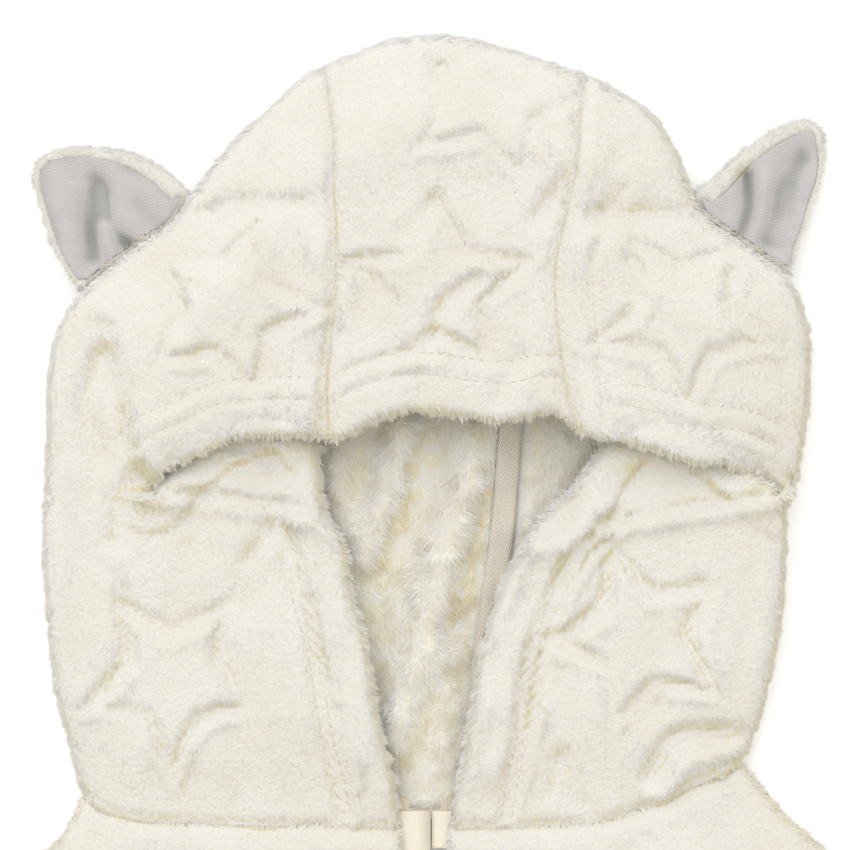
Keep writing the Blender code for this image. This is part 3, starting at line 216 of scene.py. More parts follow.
EAR_LEFT = [  # from the base's outer end, round the tip, to its inner end
    (-131, 204), (-137, 213), (-141, 221.5), (-144.5, 232), (-147.5, 242), (-148, 249), (-144, 254),
    (-136.5, 256.5), (-122, 257), (-110.5, 254.5), (-101, 250), (-94, 245), (-89.5, 240),
]
EAR_RIGHT = [
    (137.5, 209), (140, 219), (143, 226), (146, 236), (149.5, 246), (150.5, 257), (149, 265), (143, 267.5),
    (137, 265.5), (127, 260.5), (118, 254), (109.5, 246), (101.5, 240),
]
HOOD_STARS = [  # centre x, y (mm) and direction of one tip (degrees from +X)
    (-95, 57, 54), (-73, 196, 0), (5, 203, 18), (81, 72, 36), (97, 194, 54),
]
# Soft folds: centre x, y, half width, half length (mm), turn of its length from +Y (degrees), height (mm).
HOOD_FOLDS = [
    (-72, 233, 8, 34, 82, -2.6), (76, 232, 8, 30, 96, -2.6), (102, 26, 10, 24, 68, 2.6),
    (-118, 30, 9, 20, 30, 1.8), (-60, 96, 9, 26, -34, -1.8), (52, 60, 8, 26, 20, -1.6), (8, 238, 9, 30, 88, -1.6),
]
BODY_FOLDS = [
    (-150, -205, 12, 46, -38, 2.2), (-112, -150, 11, 38, -52, -2.0), (-58, -330, 12, 56, 14, 1.8),
    (-120, -385, 10, 44, -8, -2.0), (-165, -120, 11, 30, 20, 1.8), (-70, -62, 10, 34, 64, -1.6),
]
SLEEVE_FOLDS = [
    (222, -150, 10, 34, 62, 2.2), (246, -118, 9, 32, 48, -2.0), (292, -214, 10, 36, -36, 1.8),
    (318, -262, 9, 30, -58, -2.2), (348, -268, 9, 28, -46, 1.6), (206, -96, 9, 26, 12, -1.6),
]
EAR_LEFT_FOLDS = [(-125, 231, 5, 14, 4, -2.6), (-117, 226, 6, 12, -30, 2.2), (-104, 240, 7, 14, 60, 0.9)]
EAR_RIGHT_FOLDS = [(121, 240, 5, 12, -4, -2.4), (128, 232, 6, 12, 24, 2.0), (139, 244, 7, 15, -20, -1.2)]
CROWN_STAR = (26, 277, 0)  # it runs off the strip into both seams
# Creases as troughs along curves: x, y at the start, the middle and the end, width, depth (mm). A depth
# below 0 is a ridge.
FLAP_CREASES = [
    (19.5, 292.5, 4, 282.5, 7, 265.5, 4, 1.5),
    (45.5, 263, 53.5, 248, 42, 229, 3.6, 2.6),
    (18.5, 206, 7.5, 197, 2, 181, 3.2, 2.4),
    (-8, 223, -3, 229, 3, 234.5, 3.2, 1.5),
    (3, 234.5, 8, 225, 11.5, 214, 4, 0.9),
    (-93.5, 205, -92, 197, -91, 188, 3.2, 1.5),
    (-88, 231.5, -66.5, 235, -47, 235, 3.4, 1.7),
    (62.5, 229.5, 79, 230, 96.5, 230.5, 3.4, 1.9),
    (68, 232, 70.5, 235.5, 74, 239, 3, 1.1),
    (75.5, 213, 76, 207.5, 76.5, 202, 3, 1.3),
    (-70, 263, -61, 249.5, -65, 238, 5, 1),
    (-83, 216, -76, 213, -68.5, 215, 4, 0.8),
    (-58, 172, -56, 160.5, -58, 148, 4, 1.1),
    (-40, 173, -37, 160.5, -39.5, 147, 4, 1.2),
    (36.5, 176, 31, 170, 28, 162, 3.2, 1.2),
    (38.5, 192, 41, 187, 40, 181, 5, 0.8),
    (-26, 217.5, -20, 204.5, -27.5, 192, 7, 1),
    (113, 195, 117.5, 190.5, 119, 185.5, 3.4, 1),
    (86, 154, 99.5, 155.5, 114.5, 152, 6, 0.9),
    (-114.5, 187.5, -108.5, 169, -111.5, 146, 7, 1.1),
    (-121, 176, -126.5, 157, -122, 138, 4.2, 2.6),
    (-116, 171, -117.5, 156, -114.5, 138, 5, -1.2),
]
CHEEK_CREASES = [
    (-43, 86, -38, 42.5, -30.5, 2, 2.3, 1.7),
    (-33, 45, -30, 31, -28, 18, 1.9, 1.4),
    (53, 101, 41.5, 50, 30, 4, 2.3, 1.6),
    (-115, 124, -114.5, 116, -116, 109, 3.6, 2.2),
    (-84, 127.5, -83, 118, -85, 107, 6, 1.8),
    (-54, 121, -59.5, 110.5, -66.5, 101, 3.4, 1.8),
    (-99.5, 78, -85, 81, -70, 85, 4.5, 0.7),
    (68, 107, 66, 86, 53, 71, 3.2, 1.6),
    (103, 92, 98, 71, 103, 58, 3.6, 1.5),
    (51.5, 26, 56, 14, 62.5, 5.5, 3.2, 1.5),
    (46, 12, 49, 20.5, 51.5, 28, 3.2, 0.8),
    (86, 19.5, 94, 33, 118.5, 34.5, 3.6, 4.6),
    (90, 12, 101, 24.5, 120, 27.5, 5.5, -3.0),
    (-72.5, 144, -61, 141.8, -51.8, 132.4, 2.6, 2.4),
    (-98, 127, -77, 125.5, -47, 121, 3, 2.4),
    (134.5, 126, 99.5, 121.5, 65.5, 115.5, 3, 2.2),
    (65.5, 115.5, 55, 106, 49, 92, 3.4, 1.2),
    (-113, 89, -110, 73, -120.5, 52, 3.6, 1.4),
    (-125.5, 101, -128, 71, -123.5, 41, 8, 0.9),
    (-76, 65.5, -69.5, 52.5, -65, 41, 4, 0.8),
    (-73, 34, -61, 20.5, -47, 11, 9, 1),
    (118, 101, 122.5, 79, 119.5, 49, 8, 0.8),
    (73, 33, 80.5, 43, 91, 52.5, 4, 0.9),
    (69.5, -4, 80.5, 7, 99.5, 11, 5, 1.2),
]
LINING_RIDGES = [
    (-8.5, 152, -14.5, 127.5, -23.5, 104, 5.5, -4.6),
    (21.5, 152, 8.5, 107, -10, 35.5, 8, -6.5),
    (10, 64, 7, 35.5, -0.5, 9.5, 7, -3),
    (-30.5, 146, -32.5, 131, -29.5, 116, 5, -2.5),
]
EAR_CREASES = {  # as the other creases, on each ear's shell and lining
    "left": [
        (-124, 244, -125.5, 230.5, -126, 216, 3.9, 3.2), (-121.5, 240, -118, 226.5, -110.5, 219, 2.8, 3.2),
        (-121, 226, -119, 219, -117.5, 212, 2.4, -2.0), (-138, 248, -136, 232, -130, 216, 3.6, -1.0),
        (-113, 250, -103, 246, -96, 239, 3, 0.7), (-108, 236, -104, 231, -100, 228, 3, 0.7),
    ],
    "right": [
        (121.5, 246, 122.8, 234.5, 118.9, 223, 2.6, 3.0), (128.6, 244, 126.8, 232.5, 122.6, 221, 2.8, -1.6),
        (143, 252, 135.5, 238.5, 129.5, 222, 4.6, 3.2), (141, 240, 138.5, 230, 135, 220, 3.0, 1.2),
        (147, 262, 146, 252, 141.5, 240, 3, -0.8),
    ],
}


# ------------------------------------------------------------------------------ plan curves
def smooth(points, step=EDGE_STEP):
    """A centripetal Catmull-Rom curve through points, sampled evenly about step apart."""
    p = np.asarray(points, float)
    p = np.vstack([2 * p[0] - p[1], p, 2 * p[-1] - p[-2]])
    dense = []
    for a, b, c, d in zip(p[:-3], p[1:-2], p[2:-1], p[3:]):
        knots = np.cumsum([0] + [math.sqrt(np.linalg.norm(v)) for v in (b - a, c - b, d - c)])
        t = np.linspace(knots[1], knots[2], 16, endpoint=False)[:, None]
        ab = a + (b - a) * (t - knots[0]) / (knots[1] - knots[0])
        bc = b + (c - b) * (t - knots[1]) / (knots[2] - knots[1])
        cd = c + (d - c) * (t - knots[2]) / (knots[3] - knots[2])
        abc = ab + (bc - ab) * (t - knots[0]) / (knots[2] - knots[0])
        bcd = bc + (cd - bc) * (t - knots[1]) / (knots[3] - knots[1])
        dense.append(abc + (bcd - abc) * (t - knots[1]) / (knots[2] - knots[1]))
    dense.append(p[-2][None])
    return spaced(np.vstack(dense), step)


def spaced(line, step):
    along = np.concatenate([[0], np.cumsum(np.linalg.norm(np.diff(line, axis=0), axis=1))])
    count = max(2, round(along[-1] / step) + 1)
    at = np.linspace(0, along[-1], count)
    return np.stack([np.interp(at, along, line[:, k]) for k in (0, 1)], axis=1)


def normals(line):
    """Unit normals to the left of the line's direction."""
    d = np.gradient(line, axis=0)
    d /= np.linalg.norm(d, axis=1)[:, None]
    return np.stack([-d[:, 1], d[:, 0]], axis=1)


def shifted(line, distance):
    return line + normals(line) * distance


def portion(line, start, end, step=EDGE_STEP):
    """The stretch of a dense line between the places nearest to two points, ending exactly at them."""
    i, j = (int(np.linalg.norm(line - p, axis=1).argmin()) for p in (start, end))
    part = line[i : j + 1] if i <= j else line[j : i + 1][::-1]
    part = spaced(part, step)
    part[0], part[-1] = start, end
    return part


def mirrored(points):
    return [(-x, y) for x, y in points]


def point_at(line, length):
    """The point this far along a line."""
    along = np.concatenate([[0], np.cumsum(np.linalg.norm(np.diff(line, axis=0), axis=1))])
    return np.array([np.interp(length, along, line[:, k]) for k in (0, 1)])


def nearest(line, point):
    return line[np.linalg.norm(line - point, axis=1).argmin()]


def moved_end(line, first=None, last=None):
    """The line with its first or last point put elsewhere."""
    line = line.copy()
    if first is not None:
        line[0] = first
    if last is not None:
        line[-1] = last
    return line


def loop_of(*lines):
    """A closed outline from lines that each start where the one before ends."""
    return np.vstack([line[:-1] for line in lines])


def distance(points, line):
    """How far each point is from an open line."""
    best = np.full(len(points), np.inf)
    for a, b in zip(line[:-1], line[1:]):
        d = b - a
        t = np.clip((points - a) @ d / max(d @ d, 1e-12), 0, 1)
        best = np.minimum(best, np.linalg.norm(points - a - t[:, None] * d, axis=1))
    return best


def inside(points, outline):
    """Which points a closed outline holds."""
    x, y = points[:, 0], points[:, 1]
    held = np.zeros(len(points), bool)
    for (ax, ay), (bx, by) in zip(outline, np.roll(outline, -1, axis=0)):
        crosses = (ay > y) != (by > y)
        with np.errstate(divide="ignore", invalid="ignore"):
            held ^= crosses & (x < (bx - ax) * (y - ay) / (by - ay) + ax)
    return held


def closed(outline):
    return np.vstack([outline, outline[:1]])


# -------------------------------------------------------------------------------- profiles
def ramp(t):
    t = np.clip(t, 0, 1)
    return t * t * (3 - 2 * t)


def quarter_round(d, radius):
    """0 at an edge and 1 from radius inwards, rounded like a fold."""
    s = np.clip(d / radius, 0, 1)
    return np.sqrt(1 - (1 - s) ** 2)


def hump(p, x, y, width, length, turn=0.0):
    """A soft ridge: 1 at its middle, falling off over its half width and half length."""
    a = math.radians(turn)
    dx, dy = p[:, 0] - x, p[:, 1] - y
    across, along = dx * math.cos(a) + dy * math.sin(a), -dx * math.sin(a) + dy * math.cos(a)
    return np.exp(-((across / width) ** 2) - (along / length) ** 2)


def ripple(p, wavelength, seed, waves=11):
    """Uneven ripples about 1 high, whose wavelength varies round the one given."""
    rng = np.random.default_rng(seed)
    angle, phase = rng.uniform(0, 2 * math.pi, (2, waves))
    turn = 2 * math.pi / (wavelength * rng.uniform(0.65, 1.6, waves))
    heights = (
        np.sin(k * (p[:, 0] * math.cos(a) + p[:, 1] * math.sin(a)) + f) for k, a, f in zip(turn, angle, phase)
    )
    return sum(heights) / math.sqrt(waves)


def trough(d, width):
    """A soft trough, 1 deep, with a slight swell on each side of it."""
    s = d / width
    return np.exp(-(s**2)) - 0.16 * np.exp(-(((s - 2.2) / 0.9) ** 2))


def creases(p, table):
    """Troughs along curves through three points each: x, y of the three, width, depth."""
    z = np.zeros(len(p))
    for *route, width, depth in table:
        line = smooth(np.reshape(route, (3, 2)), 4.0)
        reach = 5 * width
        near_it = ((p > line.min(0) - reach) & (p < line.max(0) + reach)).all(axis=1)
        z[near_it] -= depth * trough(distance(p[near_it], line), width)
    return z


def slack(p, seed):
    """The cloth's own unevenness, broad and fine."""
    return 0.6 * ripple(p, 36, seed) + 0.07 * ripple(p, 11, seed + 1)


# ----------------------------------------------------------------------------- star relief
def star_depth(dx, dy, turn):
    """How far inside a star's straight edges each point is, from its place beside the star's middle."""
    step = 2 * math.pi / STAR_POINTS
    angle = np.abs((np.arctan2(dy, dx) - math.radians(turn) + step / 2) % step - step / 2)
    x, y = np.hypot(dx, dy) * np.cos(angle), np.hypot(dx, dy) * np.sin(angle)
    notch_x, notch_y = STAR_NOTCH * math.cos(step / 2), STAR_NOTCH * math.sin(step / 2)
    cross = (notch_x - STAR_TIP) * y - notch_y * (x - STAR_TIP)
    return cross / math.hypot(notch_x - STAR_TIP, notch_y)


def star_relief(p, stars):
    """A puffed star inside a soft trough, which is deep in some places and faint in others."""
    z = np.zeros(len(p))
    wander, strength = 0.6 * ripple(p, 17, 3), np.clip(0.85 + 0.35 * ripple(p, 34, 4), 0.4, 1.4)
    for x, y, turn in stars:
        dx, dy = p[:, 0] - x, p[:, 1] - y
        edge = star_depth(dx, dy, turn) + wander
        puff = STAR_PUFF * ramp(edge / STAR_PUFF_WIDTH)
        z += puff - STAR_GROOVE * strength * trough(np.abs(edge), STAR_GROOVE_WIDTH)
    return z


def stars_in(outline, stars):
    """Those of the stars that an outline holds, clear of its edge."""
    centres = np.array([s[:2] for s in stars], float)
    clear = inside(centres, outline) & (distance(centres, closed(outline)) > STAR_TIP + STAR_MARGIN)
    return [s for s, keep in zip(stars, clear) if keep]


def star_rows(outline, phase=0.0):
    """Stars in staggered rows over an outline, each turned a little more than the last."""
    across, along = STAR_PITCH
    low, high = outline.min(0), outline.max(0)
    stars = []
    for row in range(int((high[1] - low[1]) / along) + 1):
        for column in range(int((high[0] - low[0]) / across) + 2):
            x = low[0] + (column + 0.5 * (row % 2) + phase) * across
            y = high[1] - (row + 0.5) * along
            stars.append((x, y, 37 * row + 23 * column))
    return stars_in(outline, stars)


# ----------------------------------------------------------------------------------- sheets
def lattice(outline, step):
    """Points in a triangular grid inside an outline, off its edge."""
    low, high = outline.min(0), outline.max(0)
    rows = []
    for k, y in enumerate(np.arange(low[1] + step / 2, high[1], step * math.sqrt(0.75))):
        x = np.arange(low[0] + step * (0.25 + 0.5 * (k % 2)), high[0], step)
        rows.append(np.stack([x, np.full_like(x, y)], axis=1))
    p = np.vstack(rows)
    return p[inside(p, outline) & (distance(p, closed(outline)) > 0.62 * step)]


def ring_points(line, outline, insets):
    """Rows of points that follow an edge inside an outline, for its rounding."""
    rows = [np.empty((0, 2))]
    whole = closed(outline)
    for inset in insets:
        for side in (1, -1):
            p = shifted(line, side * inset)[1:-1]
            held = inside(p, outline)
            rows.append(p[held & (distance(p, whole) > 0.85 * inset)])
    return np.vstack(rows)


def gathered(rows, filling=(), clear=1.6, room=0.8):
    """Rows of points, and a filling of points that stay clear of the rows, as one array."""
    kept = np.empty((0, 2))
    for p in np.vstack([np.empty((0, 2)), *rows]):
        if not len(kept) or np.abs(kept - p).sum(axis=1).min() > room:
            kept = np.vstack([kept, p])
    if len(filling) and len(kept):
        nearest_row = np.concatenate([
            np.linalg.norm(part[:, None] - kept[None], axis=2).min(axis=1)
            for part in np.array_split(filling, len(filling) // 500 + 1)
        ])
        filling = filling[nearest_row > clear]
    return np.vstack([kept, filling]) if len(filling) else kept


class Shell:
    """An open surface put together from sheets, which are welded along the lines they share."""

    def __init__(self):
        self.points, self.faces, self.sheets, self.index = [], [], [], {}

    def key(self, sheet, point, shared):
        xy = (round(float(point[0]), 3), round(float(point[1]), 3))
        return ("shared", *xy) if xy in shared else (sheet, *xy)

    def add(self, sheet, outline, extra, height, up, shared=frozenset()):
        """Triangulates an outline with extra points inside, and lifts it by height."""
        coords = [*outline, *extra]
        edges = [(i, (i + 1) % len(outline)) for i in range(len(outline))]
        made = delaunay_2d_cdt([Vector(c) for c in coords], edges, [], 1, 1e-4)
        xy = np.array([coords[ids[0]] if ids else made[0][k] for k, ids in enumerate(made[3])])
        ids = []
        for point, level in zip(xy, height(xy)):
            key = self.key(sheet, point, shared)
            if key not in self.index:
                self.index[key] = len(self.points)
                self.points.append((*point, level))
            ids.append(self.index[key])
        for face in made[2]:
            (ax, ay), (bx, by), (cx, cy) = (xy[i] for i in face)
            counter = (bx - ax) * (cy - ay) > (by - ay) * (cx - ax)
            a, b, c = (ids[i] for i in face)
            self.faces.append((a, b, c) if counter == up else (a, c, b))
            self.sheets.append(sheet)

    def ids(self, sheet, line, shared=frozenset()):
        return [self.index[self.key(sheet, p, shared)] for p in line]


def keys_of(*lines):
    return {(round(float(x), 3), round(float(y), 3)) for line in lines for x, y in line}


def lift(up):
    """What is added to a normal that points up by this much, since fibres catch light from above."""
    return (0.35 + 0.9 * (1 - up) ** 2) * (up > -0.4)


def vertex_normals(points, faces):
    """Normals of a triangle mesh's points, weighted by area."""
    a, b, c = (points[faces[:, k]] for k in range(3))
    face_normals = np.cross(b - a, c - a)
    total = np.zeros_like(points)
    for k in range(3):
        np.add.at(total, faces[:, k], face_normals)
    return total / np.maximum(np.linalg.norm(total, axis=1), 1e-9)[:, None]


def hollows(points, faces, rounds=30):
    """How far each point lies under its surroundings, in millimetres."""
    ends = np.vstack([faces[:, [0, 1]], faces[:, [1, 2]], faces[:, [2, 0]]])
    a, b = np.vstack([ends, ends[:, ::-1]]).T
    count = np.maximum(np.bincount(a, minlength=len(points)), 1)
    level = points[:, 2]
    for _ in range(rounds):
        level = 0.5 * level + 0.5 * np.bincount(a, level[b], len(points)) / count
    return level - points[:, 2]


class Cloth:
    """One closed wall as an object, with its outer and inner shells kept for the pile to grow on."""

    def __init__(self, name, outer, inner, loops, material, sink=PLUSH_SINK):
        self.name, self.outer, self.inner = name, outer, inner
        for shell in (outer, inner):
            shell.points, shell.faces = np.array(shell.points, float), np.array(shell.faces)
            shell.sheets = np.array(shell.sheets)
            shell.normals = vertex_normals(shell.points, shell.faces)
            shell.hollow = hollows(shell.points, shell.faces)
        self.surface = outer.points.copy()
        # The ground lies under the pile, except on the underside, which rests on the floor.
        upward = ramp(outer.normals[:, 2:] + 0.6)
        outer.points = outer.points - outer.normals * upward * sink
        count = len(outer.points)
        points = np.vstack([outer.points, inner.points])
        faces = [tuple(f) for f in outer.faces] + [tuple(f) for f in inner.faces + count]
        walls = len(faces)
        used = {frozenset(e) for f in outer.faces.tolist() for e in zip(f, f[1:] + f[:1])}
        forward = {e for f in outer.faces.tolist() for e in zip(f, f[1:] + f[:1])}
        for out_loop, in_loop in loops:
            pairs = list(zip(out_loop, in_loop))
            for (a, ia), (b, ib) in zip(pairs, pairs[1:] + pairs[:1]):
                if a == b or frozenset((a, b)) not in used:
                    continue
                ia, ib = count + ia, count + ib
                if np.linalg.norm(points[a] - points[ib]) < np.linalg.norm(points[b] - points[ia]):
                    pair = [(a, ib, b), (a, ia, ib)]
                else:
                    pair = [(a, ia, b), (b, ia, ib)]
                faces += pair if (a, b) in forward else [face[::-1] for face in pair]
        faces = np.array(faces)
        facing = vertex_normals(points, faces)
        facing[:count, 2] += lift(facing[:count, 2])
        self.rim = Shell()
        self.rim.points, self.rim.faces, self.rim.normals = points, faces[walls:], vertex_normals(points, faces)
        self.rim.sheets, self.rim.hollow = np.full(len(self.rim.faces), "rim"), np.zeros(len(points))
        # The depth under the surroundings goes with the mesh, and the twill paints shade from it.
        values = [("hollow", np.concatenate([outer.hollow, inner.hollow]))]
        self.obj = mesh_object(name, points, faces, material, unit(facing), values)


def mesh_object(name, points, faces, material, normals=None, values=()):
    """A mesh of triangles. Points are in millimetres, and values are (name, number for each point)."""
    mesh = bpy.data.meshes.new(name)
    mesh.vertices.add(len(points))
    mesh.vertices.foreach_set("co", (np.asarray(points) * MM).astype(np.float32).ravel())
    mesh.loops.add(3 * len(faces))
    mesh.loops.foreach_set("vertex_index", np.asarray(faces).astype(np.int32).ravel())
    mesh.polygons.add(len(faces))
    mesh.polygons.foreach_set("loop_start", np.arange(0, 3 * len(faces), 3, dtype=np.int32))
    mesh.update(calc_edges=True)
    mesh.shade_smooth()
    if normals is not None:
        own = mesh.attributes.new("custom_normal", "FLOAT_VECTOR", "POINT")
        own.data.foreach_set("vector", np.asarray(normals).astype(np.float32).ravel())
    for label, numbers in values:
        attribute = mesh.attributes.new(label, "FLOAT", "POINT")
        attribute.data.foreach_set("value", np.asarray(numbers).astype(np.float32))
    mesh.update()
    mesh.materials.append(material)
    obj = bpy.data.objects.new(name, mesh)
    bpy.context.scene.collection.objects.link(obj)
    return obj


def panel(name, outline, top, bottom, material, points, under_points, sink=PLUSH_SINK):
    """A single layer: an upper and a lower face over one outline, and a rim round it."""
    upper, lower = Shell(), Shell()
    upper.add("top", outline, points, top, True)
    lower.add("bottom", outline, under_points, bottom, False)
    loop = (upper.ids("top", outline), lower.ids("bottom", outline))
    made = Cloth(name, upper, lower, [loop], material, sink)
    made.outline = outline
    return made


def edge_loop(shell, shared, edges):
    """The shell's free edge, from lines that each belong to a sheet and follow each other."""
    return [i for sheet, line in edges for i in shell.ids(sheet, line, shared)[:-1]]


def stitch_line(line, offset, trim=0):
    """A line beside an edge, without the points nearest to its ends."""
    moved = spaced(shifted(line, offset), EDGE_STEP)
    return moved[trim : len(moved) - trim] if trim else moved


def stitch_dip(p, lines, depth=STITCH_DIP):
    """The plush sinks in along a line of stitching, more in some places than in others."""
    if not lines:
        return 0
    return depth * np.clip(0.5 + 0.5 * ripple(p, 45, 6), 0.1, 1.2) * trough(near(p, lines), STITCH_DIP_WIDTH)


def band_puff(p, line, width, height):
    """A soft roll along a line, which ends at the stitching width away, higher in some places."""
    d = distance(p, line)
    return height * (0.8 + 0.3 * ripple(p, 24, 17)) * ramp(d / 5) * ramp((width - d) / 5)


# --------------------------------------------------------------------------- the hood's form
CROWN = smooth(HOOD_OUTLINE, 1.0)
BRIM_LINE = smooth(BRIM, 1.0)
BRIM_CUTS = [line[0] for line in (FRONT_SEAM_LEFT, FRONT_SEAM_RIGHT)]
NECK_CUTS = [line[0] for line in (BACK_SEAM_LEFT, BACK_SEAM_RIGHT)]
NECK_STOPS = [BACK_NECK[0], *NECK_CUTS, BACK_NECK[-1]]
NECK_PARTS = [portion(smooth(BACK_NECK, 1.0), *ends) for ends in zip(NECK_STOPS, NECK_STOPS[1:])]
NECK_LINES = [smooth(line, 4.0) for line in (FRONT_NECK_LEFT, FRONT_NECK_RIGHT)]
FACE_OPENING = loop_of(
    smooth(CHEEK_EDGE_LEFT, 3.0), portion(BRIM_LINE, CHEEK_EDGE_LEFT[-1], CHEEK_EDGE_RIGHT[-1], 3.0),
    smooth(CHEEK_EDGE_RIGHT, 3.0)[::-1], np.array([CHEEK_EDGE_RIGHT[0], CHEEK_EDGE_LEFT[0]], float),
)


def hood_levels(p):
    """Heights of the hood's top and of its fold's middle plane, rising from the neck seam."""
    s = ramp(np.minimum(*(distance(p, line) for line in NECK_LINES)) / HOOD_RISE_LENGTH)
    return BODY_TOP + (HOOD_TOP - BODY_TOP) * s, BODY_MID + (HOOD_MID - BODY_MID) * s


def flap_share(p, margin=0.0):
    """1 where the forehead part lies on the cheeks, and 0 beside it."""
    left, right = (
        np.interp(p[:, 1], [y for _, y in side], [x for x, _ in side]) for side in (FLAP_LEFT, FLAP_RIGHT)
    )
    across = ramp((p[:, 0] - left - margin) / FLAP_STEP) * ramp((right - margin - p[:, 0]) / FLAP_STEP)
    return across * ramp((distance(p, CROWN) - margin) / FLAP_FADE)


def folds_height(p, folds):
    return sum(row[5] * hump(p, *row[:5]) for row in folds)


def hood_top(p, wall=0.0):
    """The hood's upper face. With wall, the face of its hollow, which is inset from the fold too."""
    top, mid = hood_levels(p)
    d = distance(p, CROWN)
    z = mid + (top - wall - mid) * quarter_round(d - wall, FOLD_RADIUS - wall)
    return z + folds_height(p, HOOD_FOLDS) * ramp(d / 20)


def flap_top(p, wall=0.0):
    return hood_top(p, wall) + FLAP_RISE * flap_share(p, wall)


def cheek_top(p, crest, corner, wall=0.0):
    """The cheek, with the rounded ridge along its upper edge that dips under the brim."""
    ahead = p[:, 1] - np.interp(p[:, 0], crest[:, 0], crest[:, 1])
    ridge = LIP_RIDGE * np.exp(-(((ahead + 4) / LIP_WIDTH) ** 2)) - LIP_DROP * ramp((ahead - 1) / LIP_DIP_WIDTH)
    outward = (p[:, 0] - corner[0]) * math.copysign(1, corner[0])
    at_side = ramp(1 - np.maximum(0, outward) / 15)
    at_front = ramp((np.abs(p[:, 0]) - 20) / 15)
    return hood_top(p, wall) + ridge * at_side * at_front


def under_top(p, wall=0.0):
    """The hood's underside. With wall, the floor of its hollow."""
    _, mid = hood_levels(p)
    return mid - (mid - wall) * quarter_round(distance(p, CROWN) - wall, FOLD_RADIUS - wall)


def floor_top(p):
    """The lining that shows through the face opening, with its ridges."""
    within = inside(p, FACE_OPENING)
    shown = np.where(within, 1, ramp(1 - distance(p, closed(FACE_OPENING)) / 10))
    return under_top(p, CLOTH) + shown * (creases(p, LINING_RIDGES) + 0.5 * ripple(p, 13, 5))


def near(p, lines):
    """How far each point is from the nearest of some lines."""
    return np.min([distance(p, line) for line in lines], axis=0)


def near_by(p, lines, reach, cell=6.0):
    """As near, but infinite for points that a coarse grid shows to be out of reach."""
    column, row = np.floor(p / cell).astype(int).T
    _, first, index = np.unique(column * 10000 + row, return_index=True, return_inverse=True)
    middles = np.stack([column[first], row[first]], axis=1) * cell + cell / 2
    close = (near(middles, lines) < reach + 0.71 * cell)[index]
    d = np.full(len(p), np.inf)
    d[close] = near(p[close], lines)
    return d


def rolled(z, p, lines, amount):
    """Rounds a face off towards its free edges."""
    return z - amount * (1 - quarter_round(near(p, lines), ROLL))


def seam_dip(p, lines):
    return SEAM_DIP * (1 - ramp(near(p, lines) / SEAM_DIP_WIDTH))


def hem_extra(p, edge):
    """What a turned hem adds under the wall, fading out towards the neck seam."""
    return HEM_EXTRA * ramp((HEM_WIDTH - distance(p, edge)) / 4) * ramp(near(p, NECK_LINES) / HEM_WIDTH)


def outer_detail(p, table, stars, stitched, seed, edge=None):
    """Stars, creases, stitching and slack, which all fade out at the fold at the hood's side."""
    level = np.clip(distance(p, CROWN) / 12, 0.25, 1)
    return level * (creases(p, table) + star_relief(p, stars) + slack(p, seed)) - stitch_dip(p, stitched)


# ------------------------------------------------------------------------------ hood panels
def inner_fold(fold, inset, start_lines, end_lines):
    """The fold's line on the hollow's side. Its ends lie on the edges that the fold runs into."""
    ends = (np.mean([point_at(line, CLOTH) for line in lines], axis=0) for lines in (start_lines, end_lines))
    return moved_end(shifted(fold, inset), *ends)


def add_sheets(shell, sheets, shared):
    for name, outline, points, height, up in sheets:
        shell.add(name, outline, points, height, up, shared)


